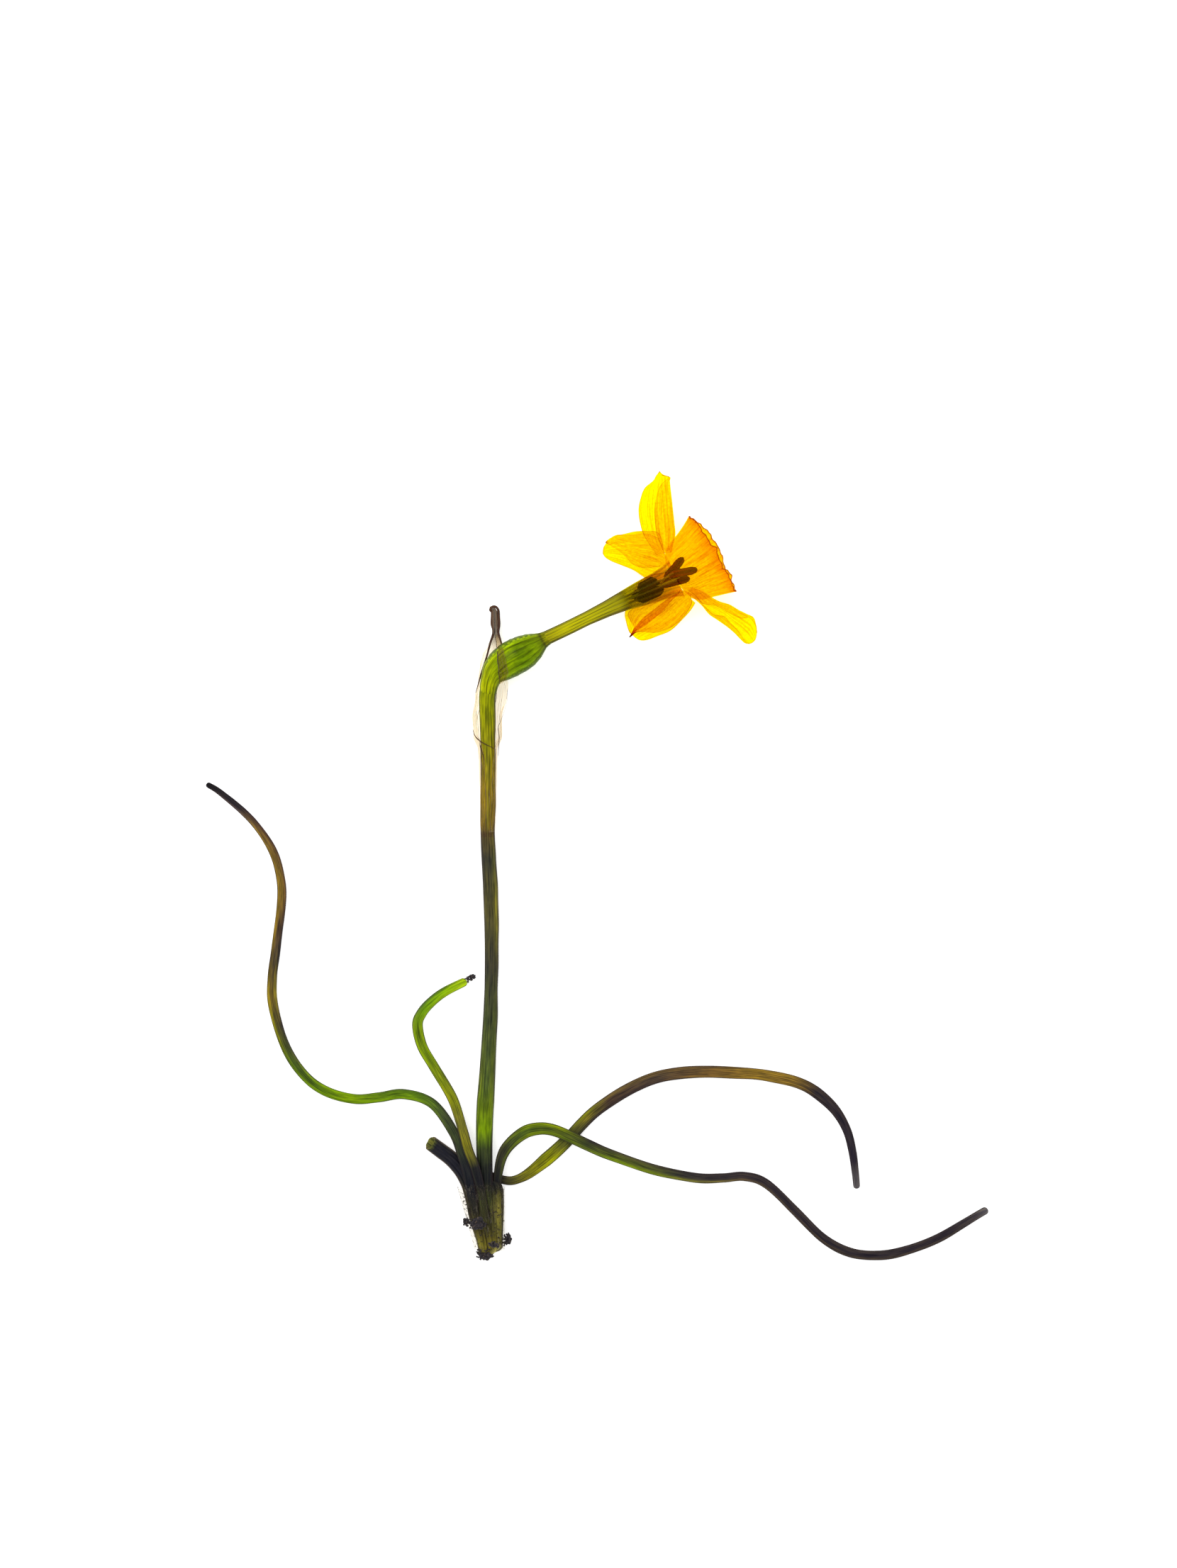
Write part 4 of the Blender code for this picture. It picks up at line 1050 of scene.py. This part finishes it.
# ---- trumpet ----
# The corona: a short orange trumpet of one thin, fleshy sheet with fine veins from throat to
# rim. The flower's own weight presses it flatter, and its ruffled rim is darker.
throat = Vector((20.14, 72.97, 7.7))
facing = math.radians(33)
trumpet_axis = Vector((math.cos(facing), math.sin(facing), 0.09)).normalized()
trumpet_left = Vector((-math.sin(facing), math.cos(facing), 0))
trumpet_up = Vector((0, 0, 1))
pressed, trumpet_wall, trumpet_around, trumpet_rows = 0.76, 0.2, 288, 60
bell = [(0, 4.8), (0.05, 6.2), (0.14, 7.5), (0.28, 8.3), (0.5, 9.0), (0.8, 10.2), (1, 11.0)]
upper_rim = [
    (-11.1, 10.5), (-8.4, 10.8), (-6.4, 10.8), (-4.1, 11.3), (-2.9, 11.5), (-1.7, 12.3),
    (0.2, 12.4), (2.2, 12.5), (5.7, 12.6), (8.6, 11.75), (11.1, 11.0),
]
lower_rim = [
    (-11.1, 10.5), (-9.0, 10.9), (-6.8, 12.2), (-5.0, 12.2), (-4.1, 11.4), (-1.7, 12.0),
    (0.0, 12.4), (1.1, 12.9), (2.4, 12.3), (5.7, 12.2), (8.6, 12.1), (9.7, 11.9), (11.1, 11.0),
]


def trumpet_point(turn, along):
    """turn goes round from the left side over the top, along runs from throat to rim."""
    reach = value_at(bell, along)
    reach += along**3 * (0.25 * math.cos(9 * turn) + 0.15 * math.sin(5 * turn))
    reach += along**6 * 0.12 * math.sin(23 * turn + 2 * math.sin(3 * turn))
    across = reach * math.cos(turn)
    rise = math.sin(turn)
    above = value_at(upper_rim, across)
    below = value_at(lower_rim, across)
    rim = below + (above - below) * min(max(rise * 2 + 0.5, 0.0), 1.0)
    rim += 0.12 * math.cos(17 * turn) + 0.08 * math.cos(31 * turn + 1)
    forward = -0.3 + along * (rim + 0.3)
    up = trumpet_up * rise * pressed * reach
    return throat + trumpet_axis * forward + trumpet_left * across + up


trumpet = add_sheet("trumpet", trumpet_around, trumpet_rows)
for vert in trumpet.data.vertices:
    turn = angle_of(vert)
    vert.co = trumpet_point(turn, vert.co.y + 0.5) * MM
close_up(trumpet, trumpet_wall)


def finish_petal(name, tint, body_colours, veins, rolled, rim, clear):
    """Thin petal tissue: light passes straight and scattered, both dyed. tint and body_colours
    are (share along, colour) stops; veins is how many fine lines run along a flat petal."""
    finish, tree, shader = start_finish(name)
    places = own_places(tree)
    across, share = places[0], places[1]
    if rolled:
        fine = streaks(tree, places, 32.0, 2.2)
        edge = times(tree, fade(tree, share, 0.965, 0.998), 0.6)
    else:
        fine = noise_at(tree, times(tree, across, veins), times(tree, share, 2.0), 0.0, 4.0, 0.1)
        from_side = calc(tree, "MINIMUM", across, calc(tree, "SUBTRACT", 1.0, across))
        from_edge = calc(tree, "MINIMUM", from_side, calc(tree, "SUBTRACT", 1.0, share))
        edge = times(tree, fade(tree, from_edge, 0.02, 0.004), 0.35)
    cells = grit(tree, 1500.0, 2.0)
    vein_shades = [(0.36, (0.93, 0.78, 0.4, 1)), (0.5, (1, 0.96, 0.9, 1)), (0.62, (1, 1, 1, 1))]
    grain = ramp(tree, fine, vein_shades)
    cell_shades = ramp(tree, cells, [(0.3, (0.92, 0.84, 0.6, 1)), (0.6, (1.02, 1.02, 1, 1))])
    grain = mix(tree, 0.5, grain, cell_shades, "MULTIPLY")
    colour = ramp(tree, share, [(at, paint(*c)) for at, c in body_colours])
    colour = mix(tree, edge, mix(tree, 1.0, colour, grain, "MULTIPLY"), paint(*rim))
    tree.links.new(colour, shader.inputs["Base Color"])
    shader.inputs["Roughness"].default_value = 0.5
    shader.inputs["Specular IOR Level"].default_value = 0.2
    normal = roughen(tree, shader, fine, 0.0002, 0.5)
    glow = node(tree, "BsdfTranslucent", {"Color": colour, "Normal": normal})
    body = node(tree, "MixShader", [0.6, shader.outputs[0], glow.outputs[0]])
    dye = ramp(tree, share, [(at, paint(*c)) for at, c in tint])
    dye = mix(tree, edge, mix(tree, 1.0, grain, dye, "MULTIPLY"), paint(*rim))
    open_share = times(tree, clear, fade(tree, edge, 0.0, 1.0, 1.0, 0.6))
    see_through(tree, body.outputs[0], dye, open_share)
    return finish


trumpet_tint = [
    (0.0, (254, 248, 30)), (0.4, (253, 248, 20)), (0.8, (252, 243, 20)), (1.0, (250, 226, 20)),
]
trumpet_body = [
    (0.0, (250, 180, 8)), (0.35, (255, 206, 0)), (0.8, (250, 186, 0)), (1.0, (226, 130, 10)),
]
trumpet_skin = finish_petal(
    "trumpet_skin", trumpet_tint, trumpet_body, 0.0, rolled=True, rim=(176, 90, 24), clear=0.95
)
settle(trumpet, trumpet_skin, "corona")

# ---- tepals ----
# Six yellow tepals round the trumpet's foot, each one thin sheet with fine veins. Wilting has
# bent them back, folded some of them over and pleated one. Each is laid out as rows of points
# from foot to tip, and each row runs from one edge to the other, over any fold.
tepal_wall, tepal_across, tepal_rows, tepal_veins = 0.14, 56, 84, 44.0
ripple_size, ripple_height, ridge_turns, ridge_height = 3, 0.12, 60, 0.03
tepal_nets = {
    "tepal_top": [
        [
            (14.9, 78.7, 8.6), (15.8, 78.9, 9.0), (16.6, 79.1, 9.2),
            (18.6, 79.3, 9.0), (17.6, 79.6, 10.6), (16.4, 79.8, 10.4),
        ],
        [
            (12.1, 82.9, 8.9), (14.2, 82.9, 8.4), (16.6, 83.0, 8.3),
            (19.55, 83.6, 9.2), (17.4, 83.3, 10.9), (15.15, 83.1, 10.6),
        ],
        [
            (10.9, 86.0, 9.2), (13.4, 86.0, 8.3), (16.2, 86.3, 8.1),
            (19.3, 86.8, 9.1), (17.0, 86.2, 10.8), (14.6, 85.8, 10.7),
        ],
        [
            (10.35, 89.8, 9.3), (13.0, 90.0, 8.3), (15.9, 90.0, 8.0),
            (18.95, 90.2, 8.9), (16.8, 90.0, 10.5), (14.4, 89.9, 10.6),
        ],
        [
            (10.9, 93.0, 9.0), (13.2, 93.3, 8.1), (15.8, 93.4, 7.9),
            (18.6, 93.5, 8.6), (16.7, 93.2, 10.0), (14.8, 93.0, 10.2),
        ],
        [
            (11.9, 95.5, 8.6), (13.7, 95.9, 7.9), (15.8, 96.0, 7.7),
            (18.35, 95.8, 8.3), (17.0, 95.6, 9.4), (15.5, 95.4, 9.6),
        ],
        [
            (14.0, 97.4, 8.0), (14.9, 97.6, 7.7), (16.1, 97.6, 7.5),
            (18.2, 97.4, 7.9), (17.5, 97.2, 8.6), (16.6, 97.0, 8.8),
        ],
        [
            (14.8, 98.7, 7.7), (15.3, 98.8, 7.5), (16.0, 98.7, 7.4),
            (18.15, 98.4, 7.6), (18.0, 98.35, 7.8), (17.9, 98.3, 8.0),
        ],
        [
            (15.6, 99.7, 7.5), (15.68, 99.85, 7.5), (15.8, 99.8, 7.4),
            (16.2, 98.95, 7.5), (16.3, 98.9, 7.7), (16.4, 98.85, 7.8),
        ],
    ],
    "tepal_upper_back": [
        [(17.0, 73.5, 3.6), (17.4, 75.5, 2.8), (17.3, 77.5, 2.6), (17.0, 79.5, 3.4)],
        [(14.2, 72.6, 2.4), (14.5, 76.0, 1.6), (14.9, 80.5, 1.4), (15.6, 84.5, 2.0)],
        [(11.9, 73.4, 1.3), (11.8, 77.0, 1.0), (11.9, 81.2, 0.9), (12.6, 85.1, 1.2)],
        [(9.2, 75.2, 0.8), (9.2, 78.2, 0.6), (9.3, 81.7, 0.6), (9.8, 85.1, 0.9)],
        [(6.1, 76.5, 0.7), (6.2, 79.0, 0.5), (6.3, 81.8, 0.5), (7.0, 84.5, 0.8)],
        [(3.6, 77.5, 0.65), (3.6, 79.5, 0.5), (3.8, 81.5, 0.5), (4.4, 83.8, 0.7)],
        [(2.0, 78.5, 0.6), (1.9, 79.6, 0.5), (2.0, 80.8, 0.5), (2.5, 82.4, 0.6)],
        [(1.42, 79.5, 0.5), (1.36, 79.8, 0.45), (1.4, 80.2, 0.45), (1.6, 81.2, 0.5)],
    ],
    "tepal_upper_front": [
        [(17.0, 75.9, 9.9), (17.4, 76.9, 9.3), (17.4, 78.1, 8.8), (16.8, 79.0, 8.6)],
        [(15.6, 75.6, 11.7), (15.9, 77.3, 11.7), (16.1, 79.5, 11.4), (16.0, 81.4, 10.9)],
        [(14.2, 75.4, 12.6), (14.6, 77.5, 12.9), (14.8, 80.0, 12.8), (14.9, 82.9, 12.2)],
        [(12.7, 75.2, 13.0), (12.9, 78.0, 13.4), (13.0, 81.0, 13.3), (13.2, 83.5, 12.8)],
        [(10.4, 75.4, 13.2), (10.6, 78.2, 13.7), (10.9, 81.0, 13.6), (11.2, 83.8, 13.1)],
        [(8.5, 76.3, 13.5), (8.9, 78.8, 13.7), (9.0, 81.2, 13.6), (9.0, 83.55, 13.2)],
        [(7.3, 77.8, 13.5), (7.0, 79.5, 13.5), (6.8, 81.5, 13.4), (6.8, 83.5, 13.0)],
        [(5.2, 79.6, 13.1), (5.0, 80.8, 13.1), (4.9, 82.1, 13.0), (4.8, 83.5, 12.7)],
        [(3.2, 80.9, 12.6), (3.1, 81.4, 12.6), (3.0, 82.0, 12.5), (3.2, 82.7, 12.3)],
        [(2.1, 81.5, 12.2), (2.05, 81.6, 12.2), (2.1, 81.75, 12.1), (2.2, 81.95, 12.1)],
    ],
    "tepal_lower_back": [
        [(17.8, 74.6, 3.4), (20.0, 72.0, 2.8), (22.5, 69.0, 2.8), (24.8, 66.8, 3.6)],
        [(14.6, 74.2, 2.0), (16.8, 70.6, 1.6), (19.8, 67.0, 1.6), (23.6, 64.9, 2.2)],
        [(12.0, 73.3, 1.2), (14.0, 69.4, 0.9), (16.9, 65.0, 0.9), (21.4, 62.5, 1.2)],
        [(10.2, 71.9, 0.9), (11.5, 67.8, 0.75), (14.0, 63.2, 0.75), (18.6, 59.9, 0.9)],
        [(8.6, 68.6, 0.8), (9.4, 65.4, 0.7), (11.6, 61.4, 0.7), (15.2, 58.45, 0.8)],
        [(7.0, 64.6, 0.8), (8.2, 62.2, 0.7), (10.0, 59.9, 0.7), (12.6, 57.5, 0.75)],
        [(7.4, 61.8, 0.75), (8.0, 60.2, 0.7), (9.2, 58.9, 0.7), (10.8, 57.45, 0.7)],
        [(8.0, 59.8, 0.7), (8.4, 59.2, 0.7), (9.0, 58.6, 0.7), (9.7, 58.1, 0.7)],
    ],
    "tepal_lower_front": [
        [
            (19.0, 69.5, 10.2), (20.9, 69.8, 10.5), (20.8, 69.7, 10.7),
            (22.3, 69.4, 10.0), (23.3, 68.6, 9.0),
        ],
        [
            (17.4, 68.5, 11.7), (20.2, 68.6, 12.2), (19.8, 68.7, 12.5),
            (21.7, 68.0, 12.0), (23.6, 67.4, 11.2),
        ],
        [
            (15.6, 67.7, 12.3), (18.9, 67.3, 13.1), (18.0, 67.6, 13.5),
            (20.8, 66.6, 13.0), (23.7, 66.4, 12.2),
        ],
        [
            (13.2, 66.5, 12.6), (17.2, 65.4, 13.3), (15.9, 66.1, 13.8),
            (19.4, 64.8, 13.2), (23.0, 64.9, 12.4),
        ],
        [
            (10.6, 65.5, 12.6), (15.3, 63.5, 13.3), (13.9, 64.5, 13.8),
            (17.8, 62.9, 13.2), (21.8, 63.2, 12.4),
        ],
        [
            (8.5, 64.8, 12.4), (13.6, 62.1, 13.1), (12.1, 63.2, 13.6),
            (16.2, 61.6, 13.0), (19.9, 61.3, 12.3),
        ],
        [
            (7.6, 63.5, 12.2), (12.1, 60.9, 12.8), (10.8, 61.9, 13.2),
            (14.3, 60.5, 12.7), (17.0, 59.7, 12.1),
        ],
        [
            (8.3, 61.9, 12.0), (10.9, 60.1, 12.4), (9.9, 60.8, 12.8),
            (12.6, 60.0, 12.4), (14.3, 59.0, 11.9),
        ],
        [
            (9.1, 60.7, 11.8), (9.9, 59.5, 12.0), (9.2, 60.0, 12.3),
            (10.8, 59.6, 12.0), (11.6, 59.3, 11.8),
        ],
        [
            (8.8, 59.4, 11.6), (9.2, 58.9, 11.7), (8.8, 59.2, 11.9),
            (9.4, 59.0, 11.8), (9.8, 59.1, 11.6),
        ],
        [
            (7.98, 57.88, 11.5), (8.05, 57.8, 11.5), (8.0, 57.83, 11.6),
            (8.08, 57.8, 11.55), (8.12, 57.82, 11.5),
        ],
    ],
    "tepal_bottom": [
        [
            (22.9, 69.9, 7.0), (23.9, 70.6, 6.6), (23.5, 70.1, 6.2),
            (23.1, 69.6, 6.1), (22.7, 69.1, 6.3), (22.8, 69.4, 6.8),
        ],
        [
            (24.9, 68.3, 6.6), (26.6, 69.6, 6.2), (25.9, 68.6, 5.8),
            (25.2, 68.0, 5.7), (24.6, 67.7, 5.9), (25.2, 67.9, 6.4),
        ],
        [
            (26.5, 66.5, 7.6), (28.9, 68.0, 6.9), (27.8, 67.0, 6.3),
            (26.9, 66.2, 6.2), (26.5, 65.9, 6.5), (27.2, 65.6, 7.2),
        ],
        [
            (29.6, 66.0, 7.6), (31.0, 66.95, 6.8), (30.0, 65.8, 6.2),
            (29.0, 64.8, 6.0), (28.2, 63.85, 6.5), (29.4, 63.65, 7.3),
        ],
        [
            (31.9, 64.9, 6.8), (33.4, 66.25, 6.0), (32.4, 64.9, 5.4),
            (31.2, 63.4, 5.2), (30.3, 62.45, 5.7), (31.9, 63.3, 6.4),
        ],
        [
            (34.2, 63.7, 5.7), (35.7, 64.95, 5.0), (34.7, 63.3, 4.3),
            (33.3, 61.8, 4.2), (32.6, 60.9, 4.7), (33.7, 61.6, 5.3),
        ],
        [
            (36.3, 62.85, 4.7), (37.7, 64.0, 4.0), (36.8, 61.8, 3.4),
            (35.5, 60.1, 3.3), (34.6, 59.3, 3.7), (35.5, 59.9, 4.2),
        ],
        [
            (38.5, 62.95, 3.6), (39.5, 63.05, 3.2), (38.4, 60.5, 2.7),
            (37.0, 58.6, 2.7), (36.1, 57.8, 3.0), (36.8, 58.0, 3.4),
        ],
        [
            (39.9, 61.4, 2.8), (40.15, 61.1, 2.6), (39.3, 59.2, 2.3),
            (38.2, 57.5, 2.3), (37.4, 56.7, 2.5), (37.7, 57.0, 2.8),
        ],
        [
            (40.35, 59.6, 2.4), (40.4, 59.2, 2.3), (40.1, 57.6, 2.2),
            (39.2, 56.7, 2.2), (38.5, 56.5, 2.3), (38.5, 56.6, 2.4),
        ],
    ],
}
tepal_tint = [
    (0.0, (254, 250, 30)), (0.2, (252, 247, 16)), (0.6, (252, 248, 14)), (1.0, (252, 248, 14)),
]
tepal_body = [
    (0.0, (240, 180, 8)), (0.25, (252, 214, 4)), (0.7, (255, 232, 0)), (1.0, (252, 228, 6)),
]
pleated_tint = [
    (0.0, (252, 246, 20)), (0.5, (252, 243, 14)), (0.8, (250, 236, 14)), (0.92, (240, 206, 40)),
    (1.0, (226, 180, 70)),
]
pleated_body = [
    (0.0, (240, 176, 8)), (0.4, (250, 200, 4)), (0.8, (240, 176, 8)), (0.92, (190, 104, 20)),
    (1.0, (140, 70, 20)),
]
tepal_skin = finish_petal(
    "tepal_skin", tepal_tint, tepal_body, tepal_veins, rolled=False, rim=(206, 150, 16), clear=0.93
)
pleated_skin = finish_petal(
    "pleated_tepal_skin", pleated_tint, pleated_body, tepal_veins,
    rolled=False, rim=(196, 130, 20), clear=0.93,
)
for node_name, net in tepal_nets.items():
    tepal = add_sheet(node_name.replace("tepal_", "") + "_tepal", tepal_across, tepal_rows)
    for vert in tepal.data.vertices:
        across, along = vert.co.x + 0.5, vert.co.y + 0.5
        place = net_point(net, across, along)
        spot = Vector((place.x / ripple_size, place.y / ripple_size, len(node_name)))
        ridge = ridge_height * math.cos(across * ridge_turns)
        place.z += ripple_height * noise.noise(spot) + ridge
        vert.co = place * MM
    close_up(tepal, tepal_wall)
    skin = pleated_skin if node_name == "tepal_lower_front" else tepal_skin
    settle(tepal, skin, node_name)

# ---- soil on the foot ----
# Crumbs of damp black soil that came up with the bulb: packed lumps of round grains, stuck to
# the sheath and the torn foot, with loose grains at their edges.
soil_lumps = {
    "soil_clump_on_sheath": ((-29.9, -89.9, 8.6), (1.9, 1.5, 0.75)),
    "soil_crumb_left": ((-33.1, -89.3, 7.5), (0.8, 1.0, 0.6)),
    "soil_clump_foot": ((-28.4, -98.3, 3.9), (2.1, 1.3, 1.9)),
    "soil_ridge_on_sheath": ((-26.1, -95.3, 7.75), (1.6, 0.7, 0.5)),
    "soil_clump_right": ((-22.5, -94.3, 2.4), (0.8, 1.3, 1.2)),
    "soil_crumb_short_leaf": ((-31.7, -28.0, 1.0), (0.8, 0.6, 0.6)),
}
soil_skin, tree, shader = start_finish("damp_soil")
speckle = grit(tree, 2200.0, 5.0)
soil_colours = [(0.35, paint(20, 17, 22)), (0.55, paint(42, 36, 42)), (0.72, paint(96, 78, 60))]
tree.links.new(ramp(tree, speckle, soil_colours), shader.inputs["Base Color"])
shader.inputs["Roughness"].default_value = 0.85
roughen(tree, shader, speckle, 0.0001, 0.8)
loose = {  # how many grains, and how far their middle lies off the lump's
    "soil_clump_on_sheath": (90, (-0.7, 0.0, -0.2)),
    "soil_crumb_left": (34, (0.1, -0.6, 0.0)),
    "soil_clump_foot": (150, (0.0, 1.0, 0.3)),
    "soil_ridge_on_sheath": (40, (0.3, 0.1, 0.0)),
    "soil_clump_right": (80, (-0.9, -0.4, 0.3)),
    "soil_crumb_short_leaf": (44, (-1.6, -0.7, 0.2)),
}
grain_spacing, smallest_grain, largest_grain = 0.42, 0.13, 0.3
chance = random.Random(41)
for n, (node_name, (place, half)) in enumerate(soil_lumps.items()):
    centre = Vector(place) + LAYOUT_TO_FRAME
    bpy.ops.object.select_all(action="DESELECT")
    bpy.ops.mesh.primitive_ico_sphere_add(subdivisions=5, radius=1)
    lump = bpy.context.object
    lump.name = lump.data.name = node_name.replace("soil_", "") + "_of_soil"
    seed = Vector((n * 7.3, 0, 0))
    for vert in lump.data.vertices:
        swell = 0.85 + 0.55 * noise.noise(vert.co * 1.4 + seed)
        spot = Vector([vert.co[i] * half[i] * swell for i in range(3)])
        grains = noise.voronoi(spot / grain_spacing + seed)[0][0]
        vert.co = (centre + spot - spot.normalized() * (grains**2 * 0.5 - 0.1)) * MM
    grain_count, drift = loose[node_name]
    bpy.ops.mesh.primitive_ico_sphere_add(subdivisions=2, radius=1)
    grain = bpy.context.object
    for vert in grain.data.vertices:
        vert.co *= 1 + 0.25 * noise.noise(vert.co * 1.7)
    grains = [lump]
    for _ in range(grain_count):
        way = Vector([chance.gauss(0, 1) for _ in range(3)]).normalized()
        reach = chance.uniform(0.55, 1.15)
        drifted = centre + Vector(drift) * chance.random()
        spot = drifted + Vector([way[i] * half[i] * reach for i in range(3)])
        size = chance.uniform(smallest_grain, largest_grain)
        spot.z = max(spot.z, size)
        copy = grain.copy()
        copy.data = grain.data.copy()
        bpy.context.collection.objects.link(copy)
        for vert in copy.data.vertices:
            vert.co = (spot + vert.co * size) * MM
        grains.append(copy)
    bpy.data.objects.remove(grain)
    bpy.ops.object.select_all(action="DESELECT")
    for part in grains:
        part.select_set(True)
    bpy.context.view_layer.objects.active = lump
    bpy.ops.object.join()
    lump.data.shade_smooth()
    settle(lump, soil_skin, node_name)

# ---- light table, lamps and camera ----
# A white glowing table under the plant, a soft lamp above, and a long lens straight overhead.
bpy.ops.object.select_all(action="DESELECT")
bpy.ops.mesh.primitive_plane_add(size=6)
table = bpy.context.object
table.name = "light_table"
glow_white, tree, shader = start_finish("table_glow")
shader.inputs["Base Color"].default_value = (0.9, 0.9, 0.9, 1)
shader.inputs["Roughness"].default_value = 0.9
shader.inputs["Emission Color"].default_value = (1, 1, 1, 1)
shader.inputs["Emission Strength"].default_value = 0.55
table.data.materials.append(glow_white)

world = bpy.data.worlds.new("bright_room")
world.use_nodes = True
world.node_tree.nodes["Background"].inputs["Color"].default_value = (1, 1, 1, 1)
world.node_tree.nodes["Background"].inputs["Strength"].default_value = 0.8
bpy.context.scene.world = world
bpy.ops.object.light_add(type="AREA", location=(-0.35, 0.3, 0.8))
lamp = bpy.context.object
lamp.data.energy = 3.0
lamp.data.size = 0.5
lamp.rotation_euler = (Vector((0, 0, 0)) - lamp.location).to_track_quat("-Z", "Y").to_euler()

view_centre, view_height, lens, sensor = Vector((-0.00225, 0.02097, 0.0)), 0.3982, 100.0, 36.0
bpy.ops.object.camera_add(location=view_centre + Vector((0, 0, view_height * lens / sensor)))
camera = bpy.context.object
camera.rotation_euler = (0, 0, 0)
camera.data.lens = lens
camera.data.sensor_width = sensor
camera.data.clip_end = 10
bpy.context.scene.camera = camera
bpy.context.scene.view_settings.view_transform = "Standard"
bpy.context.scene.cycles.transparent_max_bounces = 32
